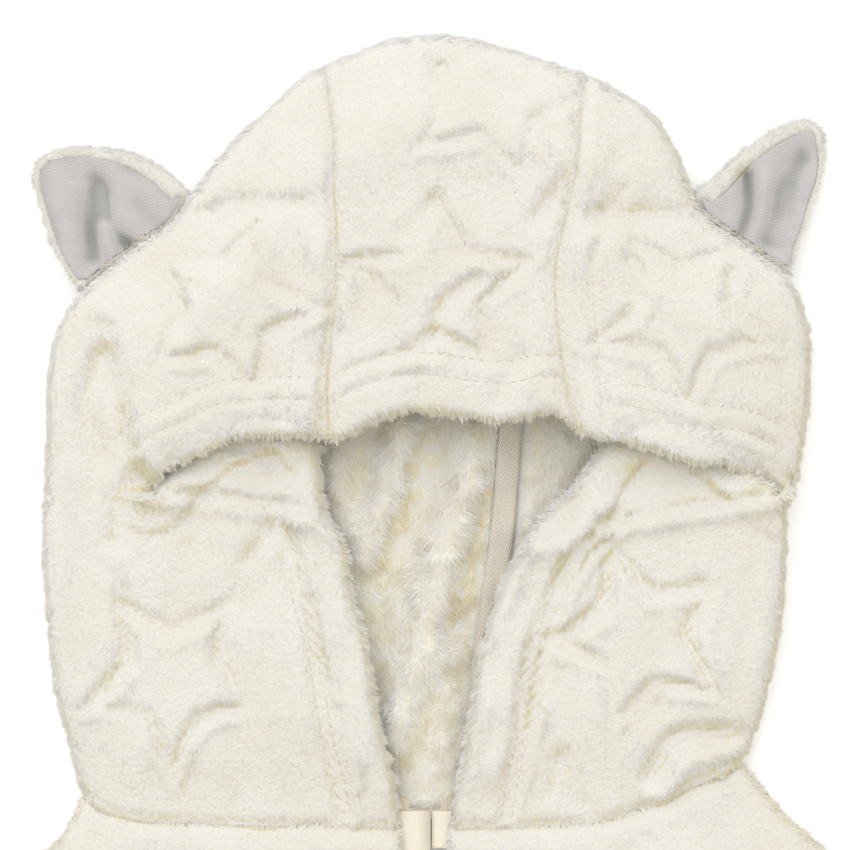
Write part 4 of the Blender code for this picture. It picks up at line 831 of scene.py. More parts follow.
def hood_side(name, sign, neck, cheek, crest, seam, back_seam, back_neck):
    """A side panel: its forehead part and its cheek above, and the part that lies underneath."""
    brim_ends = (cheek[-1], seam[0])
    seam, back_seam = (shifted(smooth(line), -sign * HALF_GAP) for line in (seam, back_seam))
    back_seam[-1] = seam[-1]
    # The neck lines run from the fold at the side to the front edge and to the back seam.
    neck, back_neck = (shifted(line, HALF_GAP)[::-sign] for line in (smooth(neck), back_neck))
    back_neck = moved_end(back_neck, neck[0], back_seam[0])
    cheek = moved_end(smooth(cheek), neck[-1])
    corner = cheek[-1]
    brim = moved_end(portion(BRIM_LINE, *brim_ends), corner, seam[0])
    side = nearest(CROWN, corner + (sign * 40, 0))
    low, high = portion(CROWN, neck[0], side), portion(CROWN, side, seam[-1])
    fold = np.vstack([low, high[1:]])
    join = spaced(np.array([side, corner]), EDGE_STEP)
    crest = smooth(crest, 4.0)

    hollow = inner_fold(fold, sign * CLOTH, [back_neck], [seam[::-1], back_seam[::-1]])
    inner_low, inner_high = hollow[: len(low)], hollow[len(low) - 1 :]
    inner_seam, inner_back_seam = (moved_end(line, last=hollow[-1]) for line in (seam, back_seam))
    inner_neck, inner_back_neck = (moved_end(line, hollow[0]) for line in (neck, back_neck))
    inner_join = moved_end(join, inner_low[-1])

    flap_outline = loop_of(brim, seam, high[::-1], join)
    cheek_outline = loop_of(neck, cheek, join[::-1], low[::-1])
    under_outline = loop_of(back_neck, back_seam, high[::-1], low[::-1])
    flap_stars, cheek_stars = (stars_in(outline, HOOD_STARS) for outline in (flap_outline, cheek_outline))
    flap_rows = [stitch_line(brim, -sign * off, 3) for off in STITCH_ROWS]
    flap_rows.append(stitch_line(seam, -sign * SEAM_STITCH)[2:-17])
    cheek_rows = [stitch_line(cheek, -sign * off, 2)[:-14] for off in CHEEK_ROWS]

    def droop(p):
        """The brim's outer corner hangs towards the cheek."""
        near_corner = ramp(1 - np.linalg.norm(p - corner, axis=1) / DROOP_REACH)
        return BRIM_DROOP * near_corner * ramp(1 - distance(p, brim) / 14)

    def flap_height(p):
        z = flap_top(p) - droop(p) + outer_detail(p, FLAP_CREASES, flap_stars, flap_rows, 20) - seam_dip(p, [seam])
        level = ramp(distance(p, CROWN) / 20)
        z += level * (band_puff(p, seam, SEAM_STITCH, SEAM_PUFF) + band_puff(p, brim, STITCH_ROWS[1], BRIM_PUFF))
        return rolled(z, p, [brim], ROLL)

    def cheek_height(p):
        z = cheek_top(p, crest, corner) - seam_dip(p, [neck]) - 1.3 * stitch_dip(p, cheek_rows)
        z += outer_detail(p, CHEEK_CREASES, cheek_stars, cheek_rows, 20)
        z += band_puff(p, cheek, CHEEK_ROWS[0], CHEEK_PUFF) * ramp(near(p, NECK_LINES) / 18)
        return rolled(z, p, [cheek], ROLL)

    def outer_points(outline, edge):
        rows = [ring_points(edge, outline, ROLL_INSETS), ring_points(fold, outline, FOLD_INSETS)]
        return gathered(rows, lattice(outline, HOOD_STEP))

    def inner_points(outline, edge, step=9.0):
        rows = [ring_points(hollow, outline, HOLLOW_INSETS), ring_points(edge, outline, (HEM_WIDTH,))]
        return gathered(rows, lattice(outline, step))

    outer, shared = Shell(), keys_of(low, high, join)
    add_sheets(outer, [
        ("flap", flap_outline, outer_points(flap_outline, brim), flap_height, True),
        ("cheek", cheek_outline, outer_points(cheek_outline, cheek), cheek_height, True),
        ("under", under_outline, gathered([ring_points(fold, under_outline, FOLD_INSETS)]), under_top, False),
    ], shared)
    edges = [("flap", brim), ("flap", seam), ("under", back_seam[::-1]), ("under", back_neck[::-1]),
             ("cheek", neck), ("cheek", cheek)]

    inner, inner_shared = Shell(), keys_of(inner_low, inner_high, inner_join)
    inner_flap = loop_of(brim, inner_seam, inner_high[::-1], inner_join)
    inner_cheek = loop_of(inner_neck, cheek, inner_join[::-1], inner_low[::-1])
    inner_under = loop_of(inner_back_neck, inner_back_seam, inner_high[::-1], inner_low[::-1])
    add_sheets(inner, [
        ("flap", inner_flap, inner_points(inner_flap, brim),
         lambda p: flap_top(p, CLOTH) - hem_extra(p, brim) - droop(p), False),
        ("cheek", inner_cheek, inner_points(inner_cheek, cheek),
         lambda p: cheek_top(p, crest, corner, CLOTH) - hem_extra(p, cheek), False),
        ("floor", inner_under, inner_points(inner_under, back_seam, FLOOR_STEP), floor_top, True),
    ], inner_shared)
    inner_edges = [("flap", brim), ("flap", inner_seam), ("floor", inner_back_seam[::-1]),
                   ("floor", inner_back_neck[::-1]), ("cheek", inner_neck), ("cheek", cheek)]
    loops = [(edge_loop(outer, shared, edges), edge_loop(inner, inner_shared, inner_edges))]
    made = Cloth(name, outer, inner, loops, PLUSH)
    made.stitching = [(flap_rows, flap_height), (cheek_rows, cheek_height)]
    made.seams, made.free = [seam, neck], [brim, cheek, fold]
    # Painted shade: the cheek's pile under the brim is counted as lying deeper, so it is tinted darker and yellower.
    under_brim = np.unique(outer.faces[outer.sheets == "cheek"])
    outer.hollow[under_brim] += 4.2 * np.exp(-((distance(outer.points[under_brim, :2], brim) / 11) ** 2))
    return made


def hood_centre():
    """The strip from the brim over the crown and, underneath, down to the neck."""
    left, right = shifted(smooth(FRONT_SEAM_LEFT), -HALF_GAP), shifted(smooth(FRONT_SEAM_RIGHT), HALF_GAP)
    back_left, back_right = (
        shifted(smooth(line), off) for line, off in ((BACK_SEAM_LEFT, -HALF_GAP), (BACK_SEAM_RIGHT, HALF_GAP))
    )
    back_left[-1], back_right[-1] = left[-1], right[-1]
    brim = moved_end(portion(BRIM_LINE, *BRIM_CUTS), left[0], right[0])
    neck = moved_end(shifted(NECK_PARTS[1], HALF_GAP), back_left[0], back_right[0])
    fold = portion(CROWN, left[-1], right[-1])
    hollow = inner_fold(fold, -CLOTH, [left[::-1], back_left[::-1]], [right[::-1], back_right[::-1]])
    inner_left, inner_back_left = (moved_end(line, last=hollow[0]) for line in (left, back_left))
    inner_right, inner_back_right = (moved_end(line, last=hollow[-1]) for line in (right, back_right))

    front = loop_of(left, fold, right[::-1], brim[::-1])
    under = loop_of(back_left, fold, back_right[::-1], neck[::-1])
    stars = stars_in(front, HOOD_STARS) + [CROWN_STAR]
    rows = [stitch_line(brim, off, 1) for off in STITCH_ROWS]

    def front_height(p):
        z = flap_top(p) + outer_detail(p, FLAP_CREASES, stars, rows, 20) - seam_dip(p, [left, right])
        z += ramp(distance(p, CROWN) / 20) * band_puff(p, brim, STITCH_ROWS[1], BRIM_PUFF)
        return rolled(z, p, [brim], ROLL)

    outer, shared = Shell(), keys_of(fold)
    front_rows = [ring_points(brim, front, ROLL_INSETS), ring_points(fold, front, FOLD_INSETS)]
    add_sheets(outer, [
        ("flap", front, gathered(front_rows, lattice(front, HOOD_STEP)), front_height, True),
        ("under", under, gathered([ring_points(fold, under, FOLD_INSETS)]), under_top, False),
    ], shared)
    inner_front = loop_of(inner_left, hollow, inner_right[::-1], brim[::-1])
    inner_under = loop_of(inner_back_left, hollow, inner_back_right[::-1], neck[::-1])
    inner, inner_shared = Shell(), keys_of(hollow)
    hollow_rows = [ring_points(hollow, inner_front, HOLLOW_INSETS), ring_points(brim, inner_front, (HEM_WIDTH,))]
    floor_rows = [ring_points(hollow, inner_under, HOLLOW_INSETS)]
    add_sheets(inner, [
        ("flap", inner_front, gathered(hollow_rows, lattice(inner_front, 9.0)),
         lambda p: flap_top(p, CLOTH) - hem_extra(p, brim), False),
        ("floor", inner_under, gathered(floor_rows, lattice(inner_under, FLOOR_STEP)), floor_top, True),
    ], inner_shared)
    edges = [("flap", brim[::-1]), ("flap", left), ("under", back_left[::-1]), ("under", neck),
             ("under", back_right), ("flap", right[::-1])]
    inner_edges = [("flap", brim[::-1]), ("flap", inner_left), ("floor", inner_back_left[::-1]),
                   ("floor", neck), ("floor", inner_back_right), ("flap", inner_right[::-1])]
    loops = [(edge_loop(outer, shared, edges), edge_loop(inner, inner_shared, inner_edges))]
    made = Cloth("hood_centre_cloth", outer, inner, loops, PLUSH)
    made.stitching, made.seams, made.free = [(rows, front_height)], [left, right], [brim, fold]
    return made


# --------------------------------------------------------------------------------- the body
def body_side(sign, neck_end):
    """Shoulder, armhole and side seam of one side, from the neck down."""
    shoulder = moved_end(smooth(SHOULDER_LEFT if sign < 0 else SHOULDER_RIGHT), neck_end)
    armhole, side = (smooth(line if sign > 0 else mirrored(line)) for line in (ARMHOLE, SIDE_SEAM))
    return shoulder, shifted(armhole, -sign * HALF_GAP), side


def joined(shoulder, armhole, side):
    """One line from the neck to the hem. The armhole's own ends stand where the lines meet."""
    return np.vstack([shoulder[:-1], armhole, side[1:]])


def back():
    neck = shifted(np.vstack([NECK_PARTS[0][:-1], NECK_PARTS[1][:-1], NECK_PARTS[2]]), -HALF_GAP)
    left, right = body_side(-1, neck[0]), body_side(1, neck[-1])
    hem = smooth(HEM)
    outline = loop_of(neck, joined(*right), hem[::-1], joined(*left)[::-1])
    folds = [left[0], left[2], right[0], right[2]]

    def bottom(p):
        turned = HEM_ROLL * (1 - quarter_round(distance(p, hem), ROLL))
        return np.maximum(EDGE_LIFT * (1 - quarter_round(near(p, folds), EDGE_RADIUS)), turned)

    def top(p):
        return rolled(CLOTH, p, [hem], HEM_ROLL)

    hem_rows = ring_points(hem, outline, ROLL_INSETS)
    fold_rows = [ring_points(line, outline, (2.0, EDGE_RADIUS)) for line in folds]
    made = panel("back_cloth", outline, top, bottom, PLUSH, gathered([hem_rows], lattice(outline, PLAIN)),
                 gathered([hem_rows, *fold_rows]), 0)
    made.stitching, made.seams, made.free = [], [], [hem, *folds]
    return made


def front(name, sign, on_top):
    neck = shifted(smooth(FRONT_NECK_LEFT if sign < 0 else FRONT_NECK_RIGHT), -HALF_GAP)[::-sign]
    shoulder, armhole, side = body_side(sign, neck[0])
    edge = moved_end(smooth(FRONT_EDGE) * (-sign, 1), neck[-1])
    hem = portion(smooth(HEM, 1.0), edge[-1], side[-1])
    outline = loop_of(neck, edge, hem, joined(shoulder, armhole, side)[::-1])
    stars = [star for star in star_rows(outline, 0.1 if on_top else 0.4) if abs(star[0]) > STUD_CLEAR]
    folds = [shoulder, side]
    table = BODY_FOLDS if sign < 0 else [(-x, y - 14, w, l, 6 - turn, h) for x, y, w, l, turn, h in BODY_FOLDS]
    hem_stitches = [stitch_line(hem, sign * off, 2) for off in STITCH_ROWS]
    edge_stitches = [stitch_line(edge, sign * off)[6:-2] for off in STITCH_ROWS] if on_top else []
    rows = hem_stitches + edge_stitches

    def bottom(p):
        z = CLOTH + SEAM_GAP + (LAYER_GAP - SEAM_GAP) * ramp(near(p, folds) / SEAM_SETTLE)
        overlap = ramp((OVERLAP_FADE - np.abs(p[:, 0])) / 24) * ramp((-8 - p[:, 1]) / 20)
        return z + overlap * ((CLOTH + 2 * SEAM_GAP if on_top else 0) - (LAYER_GAP - SEAM_GAP))

    def top(p):
        d = near(p, folds)
        z = bottom(p) + EDGE_THICK + (CLOTH - EDGE_THICK) * quarter_round(d, EDGE_RADIUS)
        z += (BODY_STARS * star_relief(p, stars) + folds_height(p, table) + slack(p, 40 + sign)) * ramp(d / 30)
        return rolled(z - 0.8 * seam_dip(p, [armhole, neck]) - stitch_dip(p, rows), p, [edge, hem], HEM_ROLL)

    edge_rows = [ring_points(line, outline, ROLL_INSETS) for line in (edge, hem)]
    fold_rows = [ring_points(line, outline, (2.0, EDGE_RADIUS)) for line in folds]
    settle_rows = [ring_points(line, outline, (SEAM_SETTLE,)) for line in folds]
    made = panel(name + "_cloth", outline, top, bottom, PLUSH,
                 gathered([*edge_rows, *fold_rows], lattice(outline, BODY_STEP), 2.6),
                 gathered(settle_rows, lattice(outline, 14.0), 6.0))
    made.stitching, made.seams, made.free = [(rows, top)], [armhole, neck], [edge, hem, shoulder, side]
    return made


def sleeve(name, sign):
    """A flat tube, folded along its top and under the arm, open at the armhole and at the cuff."""
    armhole, over, under, cuff = (
        smooth(line if sign > 0 else mirrored(line)) for line in (ARMHOLE, SLEEVE_TOP, SLEEVE_UNDER, CUFF)
    )
    armhole = shifted(armhole, sign * HALF_GAP)
    over, under = moved_end(over, armhole[0], cuff[-1]), moved_end(under, armhole[-1], cuff[0])
    inner_over = inner_fold(over, -sign * CLOTH, [armhole], [cuff[::-1]])
    inner_under = inner_fold(under, sign * CLOTH, [armhole[::-1]], [cuff])
    inner_armhole = moved_end(armhole, inner_over[0], inner_under[0])
    inner_cuff = moved_end(cuff, inner_under[-1], inner_over[-1])
    outline = loop_of(over, cuff[::-1], under[::-1], armhole[::-1])
    hollow = loop_of(inner_over, inner_cuff[::-1], inner_under[::-1], inner_armhole[::-1])
    stars = star_rows(outline, 0.3 if sign < 0 else 0.1)
    table = [(sign * x, y, w, l, sign * turn, h) for x, y, w, l, turn, h in SLEEVE_FOLDS]
    rows = [stitch_line(cuff, sign * off, 2) for off in STITCH_ROWS]

    def top(p):
        d = near(p, (over, under))
        z = BODY_MID + (BODY_TOP - BODY_MID) * quarter_round(d, FOLD_RADIUS)
        z += (BODY_STARS * star_relief(p, stars) + folds_height(p, table) + slack(p, 50 + sign)) * ramp(d / 25)
        edge = seam_dip(p, [armhole]) * 0.8 + HEM_ROLL * (1 - quarter_round(distance(p, cuff), ROLL))
        return z - (edge + stitch_dip(p, rows)) * ramp(d / 12)

    def bottom(p):
        return BODY_MID * (1 - quarter_round(near(p, (over, under)), FOLD_RADIUS))

    def hollow_face(p, wall):
        s = quarter_round(near(p, (inner_over, inner_under)), LAYER_GAP)
        return BODY_MID + (LAYER_GAP / 2) * s * wall

    fold_rows = [ring_points(line, outline, FOLD_INSETS) for line in (over, under)]
    cuff_rows = ring_points(cuff, outline, ROLL_INSETS)
    outer, shared = Shell(), keys_of(over, under)
    add_sheets(outer, [
        ("upper", outline, gathered([cuff_rows, *fold_rows], lattice(outline, BODY_STEP), 2.6), top, True),
        ("lower", outline, gathered(fold_rows), bottom, False),
    ], shared)
    inner, inner_shared = Shell(), keys_of(inner_over, inner_under)
    hollow_rows = [ring_points(line, hollow, (LAYER_GAP,)) for line in (inner_over, inner_under)]
    add_sheets(inner, [
        ("ceiling", hollow, gathered(hollow_rows), lambda p: hollow_face(p, 1), False),
        ("floor", hollow, gathered(hollow_rows), lambda p: hollow_face(p, -1), True),
    ], inner_shared)
    loops = [
        (edge_loop(outer, shared, [("upper", line), ("lower", line[::-1])]),
         edge_loop(inner, inner_shared, [("ceiling", inner_line), ("floor", inner_line[::-1])]))
        for line, inner_line in ((armhole, inner_armhole), (cuff, inner_cuff))
    ]
    made = Cloth(name + "_cloth", outer, inner, loops, PLUSH)
    made.stitching, made.seams, made.free = [(rows, top)], [armhole], [cuff, over, under]
    return made


# --------------------------------------------------------------------------------- the ears
def ear(side, sign, table, folds):
    """A plush shell, and on it a twill lining inside a soft rim, made from the shell's points."""
    rim = smooth(table, 2.5)
    seat = portion(CROWN, nearest(CROWN, rim[0]), nearest(CROWN, rim[-1]), 2.5)
    seat = shifted(seat, -sign * EAR_GAP)
    rim = moved_end(rim, seat[0], seat[-1])
    outline = loop_of(rim, seat[::-1])

    def lower_face(p):
        d = distance(p, seat)
        return np.maximum(EAR_HEIGHT - EAR_SLOPE * d + folds_height(p, folds) * ramp(d / 8), SEAM_GAP)

    share = np.linspace(0, 1, len(rim))
    widths = np.interp(share, EAR_RIM_SHARES, EAR_RIM_WIDTHS[side])
    lining_rim = rim + normals(rim) * (sign * widths)[:, None]
    lining_rim = lining_rim[distance(lining_rim, seat) > 2.5]
    lining_seat = shifted(seat, -sign * 1.5)
    lining_seat = lining_seat[distance(lining_seat, rim) > 2.5]
    lining = np.vstack([lining_rim, lining_seat[::-1]])

    def dented(p):
        low = lower_face(p)
        return np.maximum(low + EAR_SHELL + creases(p, EAR_CREASES[side]), low + 0.8)

    def shell_top(p):
        d = distance(p, closed(lining)) * ~inside(p, lining)
        return rolled(dented(p) + EAR_RIM_RISE * ramp(d / 1.6), p, [rim], HEM_ROLL)

    points = gathered([], lattice(outline, EAR_STEP))
    shell = panel(f"ear_{side}_cloth", outline, shell_top, lower_face, PLUSH,
                  gathered([ring_points(rim, outline, (0.8, 2.0))], points, 1.2),
                  gathered([], lattice(outline, 5.0)), 0.7)
    shell.stitching, shell.seams, shell.free = [], [], [rim, seat]

    fine = lattice(lining, LINING_STEP)
    cover = panel(f"ear_lining_{side}_cloth", lining, lambda p: dented(p) + EAR_LINING, dented, TWILL, fine, fine, 0)
    return shell, cover


# ------------------------------------------------------------------------------------- pile
# In each kind of pile, hollow is the depth in millimetres under the surroundings that gives a blade the full painted
# shade.
PLUSH_PILE = dict(length=2.3, width=0.64, rise=11.5, spread=5.5, clump=1.7, pull=0.3, swirl=25, segments=1,
                  sink=0.3, fuzz=0.03, hollow=3.0, tuft=0.26, tuft_size=2.4, mottle=0.1)
BODY_PILE = dict(length=4.2, width=1.7, rise=8, spread=3.5, clump=3.2, pull=0.15, swirl=18, segments=1,
                 sink=0.3, fuzz=0.03, hollow=8.0, tuft=0.15, tuft_size=5.0, mottle=0.1)
BODY_EDGE_PILE = dict(BODY_PILE, length=2.8, width=1.1)
SHERPA_PILE = dict(length=5.2, width=0.44, rise=13, spread=7, clump=4.5, pull=0.45, swirl=38, segments=1,
                   sink=0.5, fuzz=0.06, hollow=6.5, tuft=0.55, tuft_size=6.0, mottle=0.5)
EAR_PILE = dict(length=1.8, width=0.45, rise=16, spread=8, clump=1.5, pull=0.3, swirl=30, segments=1,
                sink=0.3, fuzz=0.03, hollow=4.0, tuft=0.2, tuft_size=2.4, mottle=0.1)
STEEPEST = -0.35  # no pile grows where the surface turns further down than this
BLADE_SHAPE = {1: (1, 0), 2: (0.7, 1, 0)}  # the width at each step, by the number of segments
NAP = (0.3, -1.0)  # the pile is stroked down the garment
NAP /= np.linalg.norm(NAP)


def scatter(cell, seed):
    """Two even numbers from 0 to 1 for each cell of a grid, always the same."""
    mixed = np.stack([cell @ (127.1, 311.7) + seed, cell @ (269.5, 183.3) + 2 * seed], axis=1)
    mixed = np.sin(mixed) * 43758.5453
    return mixed - np.floor(mixed)


def clumps(p, size, seed):
    """For each point the nearest of some scattered centres, and a number from 0 to 1 that is the centre's own."""
    cell = np.floor(p[:, :2] / size)
    best = np.full(len(p), np.inf)
    centre, number = np.zeros((len(p), 2)), np.zeros(len(p))
    for dx in (-1, 0, 1):
        for dy in (-1, 0, 1):
            beside = cell + (dx, dy)
            jitter = scatter(beside, seed)
            place = (beside + jitter) * size
            d = ((p[:, :2] - place) ** 2).sum(axis=1)
            closer = d < best
            best[closer], centre[closer], number[closer] = d[closer], place[closer], jitter[closer, 0]
    return centre, number


def roots_on(points, faces, normals, hollow, per_mm2, rng):
    """Places scattered evenly over triangles, with the surface's normals and hollowness there."""
    a, b, c = (points[faces[:, k]] for k in range(3))
    area = np.linalg.norm(np.cross(b - a, c - a), axis=1) / 2
    count = rng.poisson(area * per_mm2)
    face = np.repeat(np.arange(len(faces)), count)
    u, v = rng.random((2, len(face)))
    over = u + v > 1
    u[over], v[over] = 1 - u[over], 1 - v[over]
    weights = np.stack([1 - u - v, u, v], axis=1)[:, :, None]
    place = (points[faces[face]] * weights).sum(axis=1)
    normal = (normals[faces[face]] * weights).sum(axis=1)
    depth = (hollow[faces[face]] * weights[:, :, 0]).sum(axis=1)
    return place, normal / np.linalg.norm(normal, axis=1)[:, None], depth


def unit(v):
    return v / np.maximum(np.linalg.norm(v, axis=-1, keepdims=True), 1e-9)


def combed(p, seams, strength=2.2, reach=1.6):
    """A push towards the nearest seam or edge, for the pile that closes over it."""
    whole_push = np.zeros((len(p), 2))
    close = near_by(p, seams, 3 * reach) < 3 * reach
    p = p[close]
    best, push = np.full(len(p), np.inf), np.zeros((len(p), 2))
    for line in seams:
        for a, b in zip(line[:-1], line[1:]):
            t = np.clip((p - a) @ (b - a) / max((b - a) @ (b - a), 1e-12), 0, 1)
            away = a + t[:, None] * (b - a) - p
            d = np.linalg.norm(away, axis=1)
            closer = d < best
            best[closer] = d[closer]
            push[closer] = away[closer] / np.maximum(d[closer], 1e-6)[:, None]
    whole_push[close] = push * (strength * np.exp(-((best / reach) ** 2)))[:, None]
    return whole_push


def tufts(p, size, seed, waves=9):
    """Slopes of small tufts, which the pile's normals follow."""
    rng = np.random.default_rng(seed)
    angle, phase = rng.uniform(0, 2 * math.pi, (2, waves))
    slopes = np.zeros((len(p), 3))
    for a, f, k in zip(angle, phase, 2 * math.pi / (size * rng.uniform(0.7, 1.5, waves))):
        slopes[:, :2] += np.cos(k * (p[:, 0] * math.cos(a) + p[:, 1] * math.sin(a)) + f)[:, None] * (math.cos(a), math.sin(a))
    return slopes / math.sqrt(waves)


def pile(name, shell, sheets, kind, per_mm2, seed, material, short_lines=(), seams=(), free=(), keep=None,
         away=(), extra_painted_shade=0.0):
    """Tapered blades that grow from some sheets of a shell, lean with the nap and gather in clumps."""
    rng = np.random.default_rng(seed)
    shown = np.isin(shell.sheets, sheets) & (shell.normals[shell.faces][:, :, 2].mean(axis=1) > STEEPEST)
    place, normal, depth = roots_on(shell.points, shell.faces[shown], shell.normals, shell.hollow, per_mm2, rng)
    if keep is not None:
        held = keep(place)
        place, normal, depth = place[held], normal[held], depth[held]
    count = len(place)
    centre, own = clumps(place, kind["clump"], seed)
    # The nap's direction, turned by broad swirls, by each clump's own turn and by each blade's.
    turn = 0.7 * ripple(place, 38, 7) + 0.3 * ripple(place, 9, 8) + 1.6 * (own - 0.5) + 0.6 * rng.normal(size=count)
    turn = np.radians(kind["swirl"]) * turn
    lean = np.stack([
        NAP[0] * np.cos(turn) - NAP[1] * np.sin(turn), NAP[0] * np.sin(turn) + NAP[1] * np.cos(turn), np.zeros(count)
    ], axis=1)
    if seams:
        lean[:, :2] += combed(place[:, :2], seams)
    if free:
        lean[:, :2] += combed(place[:, :2], free, 1.6, 3.0)
    if away:
        lean[:, :2] -= combed(place[:, :2], away, 2.5, 7.0)
    # On steep cloth the blades lie like shingles.
    raised = normal.copy()
    raised[:, 2] += lift(normal[:, 2]) * ramp((0.75 - normal[:, 2]) / 0.5)
    raised = unit(raised)
    lean = unit(lean - raised * (lean * raised).sum(axis=1, keepdims=True))
    edge = np.exp(-((near_by(place[:, :2], free, 9.0) / 3.0) ** 2)) if free else np.zeros(count)
    # Where the nap runs uphill the pile lies closer, so that its roots stay covered.
    uphill = ramp(lean[:, 2] / 0.4)
    rise = kind["rise"] * (1 + edge) * (1 - 0.9 * uphill) + kind["spread"] * rng.normal(size=count) * 0.6
    rise = np.radians(rise)[:, None]
    along = unit(lean * np.cos(rise) + raised * np.sin(rise))
    length = kind["length"] * np.clip(1 + 0.22 * rng.normal(size=count) + 0.12 * ripple(place, 15, 9), 0.45, 1.6)
    # What hangs under a fold stays short, so that it doesn't stand out beyond the edge.
    length *= np.clip(0.4 + 1.6 * normal[:, 2], 0.4, 1)
    length *= 1 + edge * (0.25 + 0.35 * ripple(place, 6, 10))
    if short_lines:
        length *= 1 - 0.3 * np.exp(-((near_by(place[:, :2], short_lines, 4.0) / 1.2) ** 2))
    width = kind["width"] * rng.uniform(0.7, 1.3, count) * np.sqrt(length / kind["length"])
    toward = np.zeros((count, 3))
    toward[:, :2] = centre - place[:, :2]
    tip_pull = kind["pull"] * toward
    across = unit(np.cross(lean, raised) + 0.35 * raised * rng.normal(size=(count, 1)))
    root = place - normal * kind["sink"]
    steps = kind["segments"]
    bent = normal + kind["tuft"] * tufts(place, kind["tuft_size"], 18)
    bent[:, 2] += lift(normal[:, 2]) + PILE_LIFT * edge
    rows, row_normals, tints = [], [], []
    for step in range(steps + 1):
        t = step / steps
        line = root + along * (length * t)[:, None] + (tip_pull + lean * (0.16 * length)[:, None]) * t * t
        line -= normal * (0.10 * length * t * t)[:, None]
        half = (0.5 * width * BLADE_SHAPE[steps][step])[:, None]
        # The root end gets the darker colour, as painted shade between the fibres.
        tone = 0.25 + 0.6 * t + kind["mottle"] * (own - 0.5) + 0.09 * rng.normal(size=count)
        for side in (line,) if step == steps else (line - across * half, line + across * half):
            rows.append(side)
            tints.append(tone)
            row_normals.append(unit(bent + kind["fuzz"] * unit(np.cross(across, along))))
    points, row_normals, tints = (np.stack(made, axis=1) for made in (rows, row_normals, tints))
    # Each blade shows the side that its surface faces, and none is seen from behind from above.
    a, b, c = (points[:, k] for k in range(3))
    facing = unit(np.cross(b - a, c - a))
    flipped = (facing * (normal + (0, 0, 0.8))).sum(axis=1) < 0
    facing[flipped] *= -1
    seen = facing[:, 2] > -0.03
    # Painted shade: blades that turn from the daylight, and blades in hollows, are tinted darker and yellower, as if
    # in shade.
    turned = DAYLIGHT[2] - 0.5 * (facing + unit(bent)) @ DAYLIGHT
    painted_shade = extra_painted_shade + PAINTED_SHADE_BASE + PAINTED_SHADE_SLOPE * turned + depth / kind["hollow"] * ramp((normal[:, 2] - 0.4) / 0.4)
    painted_shade = np.clip(np.maximum(painted_shade, LEAST_PAINTED_SHADE * uphill), 0, 1) * (1 - 0.7 * edge)
    points, row_normals, tints, painted_shade, flipped = (
        made[seen] for made in (points, row_normals, tints, painted_shade, flipped)
    )
    count, per = points.shape[:2]
    base = (np.arange(count) * per)[:, None]
    blade = [(0, 1, 2)]
    if steps == 2:
        blade += [(1, 3, 2), (2, 3, 4)]
    faces = np.vstack([base + row for row in blade])
    faces = np.where(np.tile(flipped, len(blade))[:, None], faces[:, ::-1], faces)
    flat_points = points.reshape(-1, 3)
    flat_points[:, 2] = np.maximum(flat_points[:, 2], 0.05)
    values = [("shade", tints.ravel()), ("painted_shade", np.repeat(painted_shade, per))]
    made = mesh_object(name, flat_points, faces, material, row_normals.reshape(-1, 3), values)
    print(f"pile {name}: {count} blades, {len(faces)} triangles")
    return made


# -------------------------------------------------------------------------------- materials
def material(name, roughness, sheen=0.0, **more):
    """A new Principled material, with numbers set on the shader's own sockets."""
    made = bpy.data.materials.new(name)
    made.use_nodes = True
    tree = made.node_tree
    shader = tree.nodes["Principled BSDF"]
    shader.inputs["Roughness"].default_value = roughness
    shader.inputs["Sheen Weight"].default_value = sheen
    for label, value in more.items():
        shader.inputs[label.replace("_", " ").title().replace("Ior", "IOR")].default_value = value
    return made, tree, shader


def node(tree, kind, **inputs):
    made = tree.nodes.new(kind)
    for label, value in inputs.items():
        setattr(made, label, value)
    return made


def link(tree, source, target):
    tree.links.new(source, target)


def noise_node(tree, size, detail=3.0, roughness=0.55):
    """Noise whose features are about size millimetres, in the piece's own coordinates."""
    place = node(tree, "ShaderNodeTexCoord")
    made = node(tree, "ShaderNodeTexNoise")
    made.inputs["Scale"].default_value = 1 / (size * MM)
    made.inputs["Detail"].default_value = detail
    made.inputs["Roughness"].default_value = roughness
    link(tree, place.outputs["Object"], made.inputs["Vector"])
    return made


def colour_ramp(tree, value, stops):
    made = node(tree, "ShaderNodeValToRGB")
    ramp_of = made.color_ramp
    while len(ramp_of.elements) < len(stops):
        ramp_of.elements.new(1.0)
    for element, (at, colour) in zip(ramp_of.elements, stops):
        element.position, element.color = at, (*colour, 1)
    link(tree, value, made.inputs["Fac"])
    return made


def mixed(tree, kind, factor, a, b):
    """A colour mix of two outputs, or of an output and a colour."""
    made = node(tree, "ShaderNodeMix", data_type="RGBA", blend_type=kind)
    for socket, value in ((made.inputs[0], factor), (made.inputs[6], a), (made.inputs[7], b)):
        if isinstance(value, bpy.types.NodeSocket):
            link(tree, value, socket)
        else:
            socket.default_value = value if isinstance(value, float) else (*value, 1)
    return made.outputs[2]


def bump(tree, shader, height, distance_mm, strength=1.0):
    made = node(tree, "ShaderNodeBump")
    made.inputs["Distance"].default_value = distance_mm * MM
    made.inputs["Strength"].default_value = strength
    link(tree, height, made.inputs["Height"])
    link(tree, made.outputs["Normal"], shader.inputs["Normal"])


def plush_ground():
    """The knitted ground under the pile, painted darker and yellower than the tips as shade between the fibres."""
    made, tree, shader = material("plush_ground", 0.95, 0.25, sheen_roughness=0.5)
    fine, broad = noise_node(tree, 1.6), noise_node(tree, 28.0)
    tone = colour_ramp(tree, fine.outputs["Fac"], [(0.3, PLUSH_DEEP), (0.7, PLUSH_MID)])
    tint = colour_ramp(tree, broad.outputs["Fac"], [(0.35, (0.97, 0.955, 0.93)), (0.65, (1, 1, 1))])
    link(tree, mixed(tree, "MULTIPLY", 1.0, tone.outputs["Color"], tint.outputs["Color"]), shader.inputs["Base Color"])
    bump(tree, shader, fine.outputs["Fac"], 0.9)
    return made


